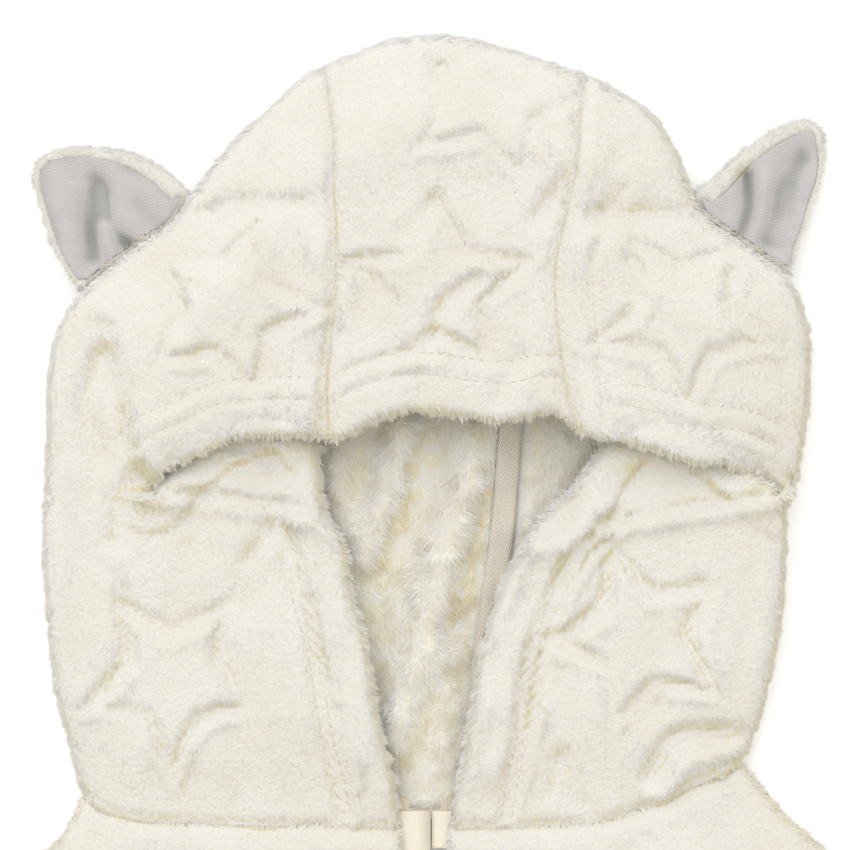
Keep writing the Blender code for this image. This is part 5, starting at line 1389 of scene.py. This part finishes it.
def pile_material(name, root, middle, tip):
    """Fibres that go from root to tip, each clump and blade a little different. Their roots are darker and yellower as
    painted shade between the fibres, and a second attribute adds painted shade where blades turn from the light or lie
    in hollows.
    """
    made, tree, shader = material(name, 0.85, 0.35, sheen_roughness=0.45)
    shade = node(tree, "ShaderNodeAttribute", attribute_name="shade")
    tone = colour_ramp(tree, shade.outputs["Fac"], [(0.1, root), (0.5, middle), (0.95, tip)])
    broad = noise_node(tree, 30.0)
    tint = colour_ramp(tree, broad.outputs["Fac"], [(0.35, (0.985, 0.98, 0.965)), (0.65, (1, 1, 1))])
    plain = mixed(tree, "MULTIPLY", 1.0, tone.outputs["Color"], tint.outputs["Color"])
    # Painted shade: this attribute mixes the darker, yellower shade colour into the fibres.
    painted_shade = node(tree, "ShaderNodeAttribute", attribute_name="painted_shade")
    link(tree, mixed(tree, "MULTIPLY", painted_shade.outputs["Fac"], plain, WARM_SHADE), shader.inputs["Base Color"])
    return made


def rotated_waves(tree, pitch, turn, distortion=0.0):
    """Lines across the piece, pitch millimetres apart, turned by some degrees."""
    place, turned = node(tree, "ShaderNodeTexCoord"), node(tree, "ShaderNodeMapping")
    turned.inputs["Rotation"].default_value[2] = math.radians(turn)
    link(tree, place.outputs["Object"], turned.inputs["Vector"])
    waves = node(tree, "ShaderNodeTexWave", wave_type="BANDS", bands_direction="X")
    waves.inputs["Scale"].default_value = 2 * math.pi / (WAVE_TURNS * pitch * MM)
    waves.inputs["Distortion"].default_value = distortion
    link(tree, turned.outputs["Vector"], waves.inputs["Vector"])
    return waves.outputs["Fac"]


def woven(name, low, high, pitch, turn, depth, roughness=0.8, sheen=0.2):
    """A twill: raised diagonal lines, with a finer crossing of threads, and painted shade that darkens it where it
    lies in a fold.
    """
    made, tree, shader = material(name, roughness, sheen, sheen_roughness=0.4)
    ribs = rotated_waves(tree, pitch, turn)
    threads = rotated_waves(tree, pitch * 0.62, turn + 68)
    both = mixed(tree, "MULTIPLY", 0.35, ribs, threads)
    tone = colour_ramp(tree, both, [(0.1, low), (0.75, high)])
    patches = colour_ramp(tree, noise_node(tree, 6.0).outputs["Fac"], [(0.3, (0.93, 0.93, 0.94)), (0.7, (1, 1, 1))])
    # Painted shade: the twill darkens with how far it lies under its surroundings.
    folds = node(tree, "ShaderNodeAttribute", attribute_name="hollow")
    share = node(tree, "ShaderNodeMath", operation="MULTIPLY")
    share.inputs[1].default_value = 0.42
    link(tree, folds.outputs["Fac"], share.inputs[0])
    deep = colour_ramp(tree, share.outputs[0], [(0.0, (1, 1, 1)), (1.0, FOLD_SHADE)])
    plain = mixed(tree, "MULTIPLY", 1.0, tone.outputs["Color"], patches.outputs["Color"])
    link(tree, mixed(tree, "MULTIPLY", 1.0, plain, deep.outputs["Color"]), shader.inputs["Base Color"])
    bump(tree, shader, both, depth)
    return made


def herringbone(name, low, high, pitch, depth):
    """Chevrons on a tape, from its along and across values in millimetres."""
    made, tree, shader = material(name, 0.8, 0.15, sheen_roughness=0.4)
    along, across = (node(tree, "ShaderNodeAttribute", attribute_name=label) for label in ("along", "across"))

    def maths(operation, *values):
        made_one = node(tree, "ShaderNodeMath", operation=operation)
        for socket, value in zip(made_one.inputs, values):
            if isinstance(value, bpy.types.NodeSocket):
                link(tree, value, socket)
            else:
                socket.default_value = value
        return made_one.outputs[0]

    folded = maths("PINGPONG", maths("ADD", across.outputs["Fac"], HOOD_TAPE_WIDTH), HOOD_TAPE_WIDTH / 4)
    slope = maths("ADD", along.outputs["Fac"], maths("MULTIPLY", folded, 1.6))
    waves = maths("SINE", maths("MULTIPLY", slope, 2 * math.pi / pitch))
    height = maths("MULTIPLY_ADD", waves, 0.5, 0.5)
    tone = colour_ramp(tree, height, [(0.05, low), (0.7, high)])
    link(tree, tone.outputs["Color"], shader.inputs["Base Color"])
    bump(tree, shader, height, depth)
    return made


def satin(name, colour):
    made, tree, shader = material(name, 0.38, 0.1, sheen_roughness=0.3)
    threads = rotated_waves(tree, 0.35, 0)
    tone = colour_ramp(tree, threads, [(0.0, tuple(0.96 * c for c in colour)), (1.0, colour)])
    patches = colour_ramp(tree, noise_node(tree, 4.0).outputs["Fac"], [(0.3, (0.96, 0.96, 0.95)), (0.7, (1, 1, 1))])
    link(tree, mixed(tree, "MULTIPLY", 1.0, tone.outputs["Color"], patches.outputs["Color"]), shader.inputs["Base Color"])
    bump(tree, shader, threads, 0.04)
    return made


def moulded(name, colour):
    made, tree, shader = material(name, 0.32)
    specks = noise_node(tree, 1.2)
    tone = colour_ramp(tree, specks.outputs["Fac"], [(0.35, tuple(0.95 * c for c in colour)), (0.65, colour)])
    link(tree, tone.outputs["Color"], shader.inputs["Base Color"])
    bump(tree, shader, specks.outputs["Fac"], 0.02)
    return made


WAVE_TURNS = 20.0  # the wave texture's phase, in radians for each unit of length at scale 1
# The DEEP colours of roots and ground are darker and yellower than the tips, as painted shade between the fibres.
PLUSH_DEEP, PLUSH_MID, PLUSH_TIP = (0.77, 0.745, 0.66), (0.80, 0.793, 0.772), (0.815, 0.812, 0.805)
SHERPA_DEEP, SHERPA_MID, SHERPA_TIP = (0.83, 0.785, 0.67), (0.93, 0.915, 0.86), (0.97, 0.965, 0.94)
PAINTED_SHADE_BASE, PAINTED_SHADE_SLOPE = 0.16, 2.6  # painted shade on the pile: its amount on level cloth, and what a turn from the light adds
LEAST_PAINTED_SHADE = 0.45  # and the least painted shade where the nap runs uphill
# The direction that the painted shade takes the light to come from.
DAYLIGHT = unit(np.array([-0.15, 0.42, 0.88]))
PILE_LIFT = 0.8  # what the fluffy edges' normals turn up, as light comes through them
WARM_SHADE = (1.0, 0.915, 0.63)  # the darker, yellower colour that painted shade multiplies the pile by
PLUSH = plush_ground()
PLUSH_FIBRE = pile_material("plush_fibre", PLUSH_DEEP, PLUSH_MID, PLUSH_TIP)
SHERPA_FIBRE = pile_material("sherpa_fibre", SHERPA_DEEP, SHERPA_MID, SHERPA_TIP)
FOLD_SHADE = (0.46, 0.50, 0.46)  # painted shade of the twill, where it lies two millimetres under its surroundings
TWILL = woven("lilac_twill", (0.46, 0.44, 0.445), (0.695, 0.665, 0.665), 0.8, 42, 0.12)
TAPE = herringbone("herringbone_tape", (0.66, 0.58, 0.47), (0.86, 0.81, 0.72), 1.5, 0.25)
NECK_TAPE = woven("beige_twill", (0.66, 0.57, 0.43), (0.84, 0.76, 0.62), 0.8, 45, 0.18)
SATIN = satin("cream_satin", (0.90, 0.83, 0.70))
STUD = moulded("ivory_stud", (0.84, 0.79, 0.68))
THREAD = woven("cream_thread", (0.80, 0.74, 0.61), (0.87, 0.83, 0.72), 0.3, 30, 0.08)


# ----------------------------------------------------------------- stitches, tapes and studs
def stitches(name, rows):
    """Short threads laid in the stitch lines. rows are (lines, height of the surface there)."""
    ring = [(0, 1), (-0.8, 0), (0, -0.6), (0.8, 0)]
    shape = [(-1, 0, 0.2), *((x, y, z) for x in (-0.6, 0.6) for y, z in ring), (1, 0, 0.2)]
    points, faces = [], []
    for lines, height in rows:
        for line in lines:
            middles = spaced(line, STITCH_PITCH)
            middles = (middles[:-1] + middles[1:]) / 2
            ways = unit(np.gradient(middles, axis=0)) if len(middles) > 1 else []
            for (x, y), (dx, dy), z in zip(middles, ways, height(middles) - PLUSH_SINK + 0.05):
                first = len(points)
                for along, side, up in shape:
                    u, v = along * STITCH_LENGTH / 2, side * STITCH_THICK / 2
                    points.append((x + dx * u - dy * v, y + dy * u + dx * v, z + up * STITCH_THICK / 2))
                for k in range(4):
                    a, b = 1 + k, 1 + (k + 1) % 4
                    faces += [(first, first + a, first + b), (first + a, first + a + 4, first + b + 4),
                              (first + a, first + b + 4, first + b), (first + 9, first + b + 4, first + a + 4)]
    return mesh_object(name, np.array(points), np.array(faces), THREAD)


def tape(name, line, width, height, material, thickness=TAPE_THICK):
    """A tape along a line on a surface, as rows of points across it, with the along and across values."""
    lengths = np.concatenate([[0], np.cumsum(np.linalg.norm(np.diff(line, axis=0), axis=1))])
    side = normals(line)
    share = np.linspace(-0.5, 0.5, 7)
    grid = line[:, None] + side[:, None] * (share * width)[None, :, None]
    flat_grid = grid.reshape(-1, 2)
    z = height(flat_grid)
    top = np.column_stack([flat_grid, z + thickness * (1 - 0.5 * np.tile(np.abs(2 * share) ** 6, len(line)))])
    low = np.column_stack([flat_grid, z])
    columns = len(share)
    faces = []
    for i in range(len(line) - 1):
        for j in range(columns - 1):
            a = i * columns + j
            faces += [(a, a + columns, a + columns + 1), (a, a + columns + 1, a + 1)]
    upper = np.array(faces)
    lower = upper[:, ::-1] + len(top)
    rim = [*range(columns), *(columns * i + columns - 1 for i in range(1, len(line))),
           *range(len(top) - 2, len(top) - columns - 1, -1), *(columns * i for i in range(len(line) - 2, 0, -1))]
    walls = [face for a, b in zip(rim, rim[1:] + rim[:1])
             for face in ((a, b, b + len(top)), (a, b + len(top), a + len(top)))]
    made_faces = np.vstack([upper, lower, np.array(walls)])
    points = np.vstack([top, low])
    a, b, c = (top[upper[:, k]] for k in range(3))
    if np.cross(b - a, c - a)[:, 2].mean() < 0:
        made_faces = made_faces[:, ::-1]
    values = [("along", np.tile(np.repeat(lengths, columns), 2)), ("across", np.tile(share * width, 2 * len(line)))]
    return mesh_object(name, points, made_faces, material, values=values)


def label(name, left, right, low, base, seed):
    """A small bare satin label, sewn in along its upper edge and lying with a soft curl."""
    line = np.array([(left, low), (left, 6.2)], float)
    line = spaced(line, 1.2) + ((right - left) / 2, 0)

    def height(p):
        s = np.clip((6.2 - p[:, 1]) / (6.2 - low), 0, 1)
        return base + 0.9 * s * s * (1 + 0.3 * ripple(p, 16, seed))

    return tape(name, line, right - left, height, SATIN, LABEL_THICK)


def stud(number):
    """A cap with a rim and a shallow dish, turned from a profile."""
    profile = [(0.0, 0.72), (0.3, 0.74), (0.5, 0.82), (0.62, 0.97), (0.72, 1.0), (0.85, 0.9), (0.95, 0.66),
               (1.0, 0.36), (0.97, 0.0), (0.0, 0.0)]
    steps = 40
    turns = np.arange(steps) * 2 * math.pi / steps
    level = 2 * CLOTH + 3 * SEAM_GAP + CLOTH + SEAM_GAP
    points, faces = [], []
    for r, h in profile:
        points += [(r * STUD_RADIUS * math.cos(a), r * STUD_RADIUS * math.sin(a), level + h * STUD_HEIGHT) for a in turns]
    for ring in range(len(profile) - 1):
        for k in range(steps):
            a, b = ring * steps + k, ring * steps + (k + 1) % steps
            faces += [(a, a + steps, b + steps), (a, b + steps, b)]
    points = np.array(points) + (0, STUD_FIRST + STUD_PITCH * (number - 1), 0)
    made = mesh_object(f"stud_{number}_cap", points, np.array(faces), STUD)
    joined_mesh = made.data
    tidy = bmesh.new()
    tidy.from_mesh(joined_mesh)
    bmesh.ops.remove_doubles(tidy, verts=tidy.verts, dist=1e-6)
    tidy.to_mesh(joined_mesh)
    tidy.free()
    joined_mesh.set_sharp_from_angle(angle=math.radians(50))
    return made


# -------------------------------------------------------------------------- putting it together
def placed(piece, node_name=None):
    """The piece rides on the garment's body and may stand for one of its solids."""
    if node_name:
        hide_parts(node_name)
    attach(piece, BODY)
    return piece


left_side = hood_side("hood_side_left_cloth", -1, FRONT_NECK_LEFT, CHEEK_EDGE_LEFT, CHEEK_CREST_LEFT, FRONT_SEAM_LEFT,
                      BACK_SEAM_LEFT, NECK_PARTS[0])
right_side = hood_side("hood_side_right_cloth", 1, FRONT_NECK_RIGHT, CHEEK_EDGE_RIGHT, CHEEK_CREST_RIGHT,
                       FRONT_SEAM_RIGHT, BACK_SEAM_RIGHT, NECK_PARTS[2])
centre = hood_centre()
hood = [("hood_side_left", left_side, 11), ("hood_side_right", right_side, 12), ("hood_centre", centre, 13)]
body = [("back", back(), 21), ("front_left", front("front_left", -1, True), 22),
        ("front_right", front("front_right", 1, False), 23), ("sleeve_left", sleeve("sleeve_left", -1), 24),
        ("sleeve_right", sleeve("sleeve_right", 1), 25)]


TAPED_SEAM = smooth(BACK_SEAM_RIGHT)
TAPED_SEAM = TAPED_SEAM[(TAPED_SEAM[:, 1] > 16) & (TAPED_SEAM[:, 1] < 176)]


NECK_TAPE_LINE = smooth([(-100, 6.6), (-50, 6.8), (0, 6.8), (50, 7.2), (78, 8.4)], 2.0)


def in_face_opening(p):
    """Where the lining shows, off the tapes."""
    shown = inside(p[:, :2], FACE_OPENING) | (near_by(p[:, :2], [closed(FACE_OPENING)], 9) < 9)
    return shown & (near_by(p[:, :2], [TAPED_SEAM, NECK_TAPE_LINE], 9) > HOOD_TAPE_WIDTH / 2)


def in_picture(p):
    """The strip of the body that the photo shows, with an uneven border."""
    return p[:, 1] + 4 * ripple(p[:, :2], 6, 31) > PICTURE_END


def fibres(name, cloth, sheets, kind, per_mm2, seed, keep=None, extra_painted_shade=0.0):
    """The plush on some sheets of a cloth."""
    short = [line for lines, _ in cloth.stitching for line in lines]
    return pile(name, cloth.outer, sheets, kind, per_mm2, seed, PLUSH_FIBRE, short, cloth.seams, cloth.free, keep,
                extra_painted_shade=extra_painted_shade)


def edge_fibres(name, cloth, kind, per_mm2, seed):
    """The plush on a cloth's free edges, and on those that are sewn to another piece."""
    edges = cloth.free + cloth.seams
    return pile(name, cloth.rim, ["rim"], kind, per_mm2, seed, PLUSH_FIBRE, free=edges, extra_painted_shade=0.1,
                keep=lambda p: near_by(p[:, :2], edges, 2.0) < 2.0)


CAST = {}  # each node's cloth and the pieces that grow on it or are sewn to it
for name, cloth, seed in hood:
    CAST[name] = (cloth, [
        fibres(name + "_plush", cloth, ["flap", "cheek"], PLUSH_PILE, HOOD_DENSITY, seed),
        edge_fibres(name + "_edge_plush", cloth, PLUSH_PILE, HOOD_DENSITY, seed + 20),
        pile(name + "_sherpa", cloth.inner, ["floor"], SHERPA_PILE, SHERPA_DENSITY, seed + 40, SHERPA_FIBRE,
             keep=in_face_opening, away=[TAPED_SEAM, NECK_TAPE_LINE], extra_painted_shade=0.06),
    ])
for name, cloth, seed in body:
    grown = [edge_fibres(name + "_edge_plush", cloth, BODY_EDGE_PILE, 2.4 * BODY_DENSITY, seed + 20)]
    if name != "back":
        away_from_camera = lambda p: ~in_picture(p)
        grown.append(fibres(name + "_plush", cloth, ["top", "upper"], BODY_PILE, BODY_DENSITY, seed, away_from_camera))
    if name.startswith("front"):
        grown.append(fibres(name + "_neck_plush", cloth, ["top"], PLUSH_PILE, HOOD_DENSITY, seed + 60, in_picture))
    CAST[name] = (cloth, grown)
for name, (cloth, grown) in CAST.items():
    if any(lines for lines, _ in cloth.stitching):
        grown.append(stitches(name + "_stitches", cloth.stitching))
for side, sign, table, folds in (("left", -1, EAR_LEFT, EAR_LEFT_FOLDS), ("right", 1, EAR_RIGHT, EAR_RIGHT_FOLDS)):
    shell, cover = ear(side, sign, table, folds)
    covered = cover.outline
    plush = fibres(f"ear_{side}_plush", shell, ["top"], EAR_PILE, EAR_DENSITY, 30 + sign,
                   lambda p: ~inside(p[:, :2], covered) | (distance(p[:, :2], closed(covered)) < 0.4))
    edge = edge_fibres(f"ear_{side}_edge_plush", shell, EAR_PILE, EAR_DENSITY, 34 + sign)
    CAST[f"ear_{side}"] = (shell, [plush, edge])
    placed(cover.obj, f"ear_lining_{side}")

for name, (cloth, grown) in CAST.items():
    placed(cloth.obj, name)
    for piece in grown:
        placed(piece)

base = CLOTH + SEAM_GAP
placed(tape("hood_seam_tape_cloth", spaced(TAPED_SEAM, 2.0), HOOD_TAPE_WIDTH,
            lambda p: floor_top(p) + TAPE_LIFT, TAPE), "hood_seam_tape")
placed(tape("neck_tape_cloth", NECK_TAPE_LINE, 9.5, lambda p: np.full(len(p), base), NECK_TAPE), "neck_tape")
label_base = base + TAPE_THICK + SEAM_GAP
placed(label("neck_label_cloth", -36, 2.1, -12, label_base, 61), "neck_label")
placed(label("size_tab_cloth", 2.7, 17, -8, label_base, 62), "size_tab")
for stud_number in range(1, STUD_COUNT + 1):
    placed(stud(stud_number), f"stud_{stud_number}")

# Each cloth's flat size in metres, as it was cut: width, length and the area of its outline.
CUTS = {
    "back": (0.420, 0.490, 0.1800), "front_left": (0.230, 0.490, 0.0900), "front_right": (0.230, 0.490, 0.0900),
    "sleeve_left": (0.340, 0.345, 0.0780), "sleeve_right": (0.340, 0.345, 0.0780),
    "hood_side_left": (0.290, 0.330, 0.0600), "hood_side_right": (0.290, 0.330, 0.0600),
    "hood_centre": (0.110, 0.440, 0.0370), "ear_left": (0.065, 0.055, 0.0022), "ear_right": (0.065, 0.055, 0.0022),
}
for name, (width, length, cut) in CUTS.items():
    cloth, grown = CAST[name]

# ------------------------------------------------------------------------ floor, light, camera
floor_mesh = bpy.data.meshes.new("floor")
reach = 4.0
corners = [(-reach, -reach), (reach, -reach), (reach, reach), (-reach, reach)]
floor_mesh.from_pydata([(x, y, 0.0) for x, y in corners], [], [(0, 1, 2, 3)])
floor = bpy.data.objects.new("floor", floor_mesh)
floor.location.z = -0.0005
floor_material, floor_tree, floor_shader = material("studio_floor", 0.9)
floor_tone = colour_ramp(floor_tree, noise_node(floor_tree, 400.0).outputs["Fac"], [(0.3, (0.96,) * 3), (0.7, (0.98,) * 3)])
link(floor_tree, floor_tone.outputs["Color"], floor_shader.inputs["Base Color"])
floor_shader.inputs["Emission Color"].default_value = (1, 1, 1, 1)
floor_shader.inputs["Emission Strength"].default_value = FLOOR_GLOW
floor_mesh.materials.append(floor_material)
bpy.context.scene.collection.objects.link(floor)

world = bpy.data.worlds.new("studio")
bpy.context.scene.world = world
world.use_nodes = True
sky = world.node_tree.nodes["Background"]
sky.inputs["Color"].default_value = (*SKY_TINT, 1)
sky.inputs["Strength"].default_value = SKY_STRENGTH
for name, turn, strength, spread in KEY_LIGHTS:
    lamp = bpy.data.lights.new(name, "SUN")
    lamp.energy, lamp.angle, lamp.color = strength, math.radians(spread), KEY_TINT
    holder = bpy.data.objects.new(name, lamp)
    holder.rotation_euler = [math.radians(angle) for angle in turn]
    bpy.context.scene.collection.objects.link(holder)

camera_data = bpy.data.cameras.new("camera")
camera_data.sensor_width = 36.0
camera_data.lens = 36.0 * (CAMERA_HEIGHT - HOOD_TOP) / FRAME_WIDTH
camera_data.clip_end = 20.0
camera = bpy.data.objects.new("camera", camera_data)
camera.location = (0.0, FRAME_MIDDLE * MM, CAMERA_HEIGHT * MM)
bpy.context.scene.collection.objects.link(camera)
bpy.context.scene.camera = camera
bpy.context.scene.view_settings.view_transform = "Standard"
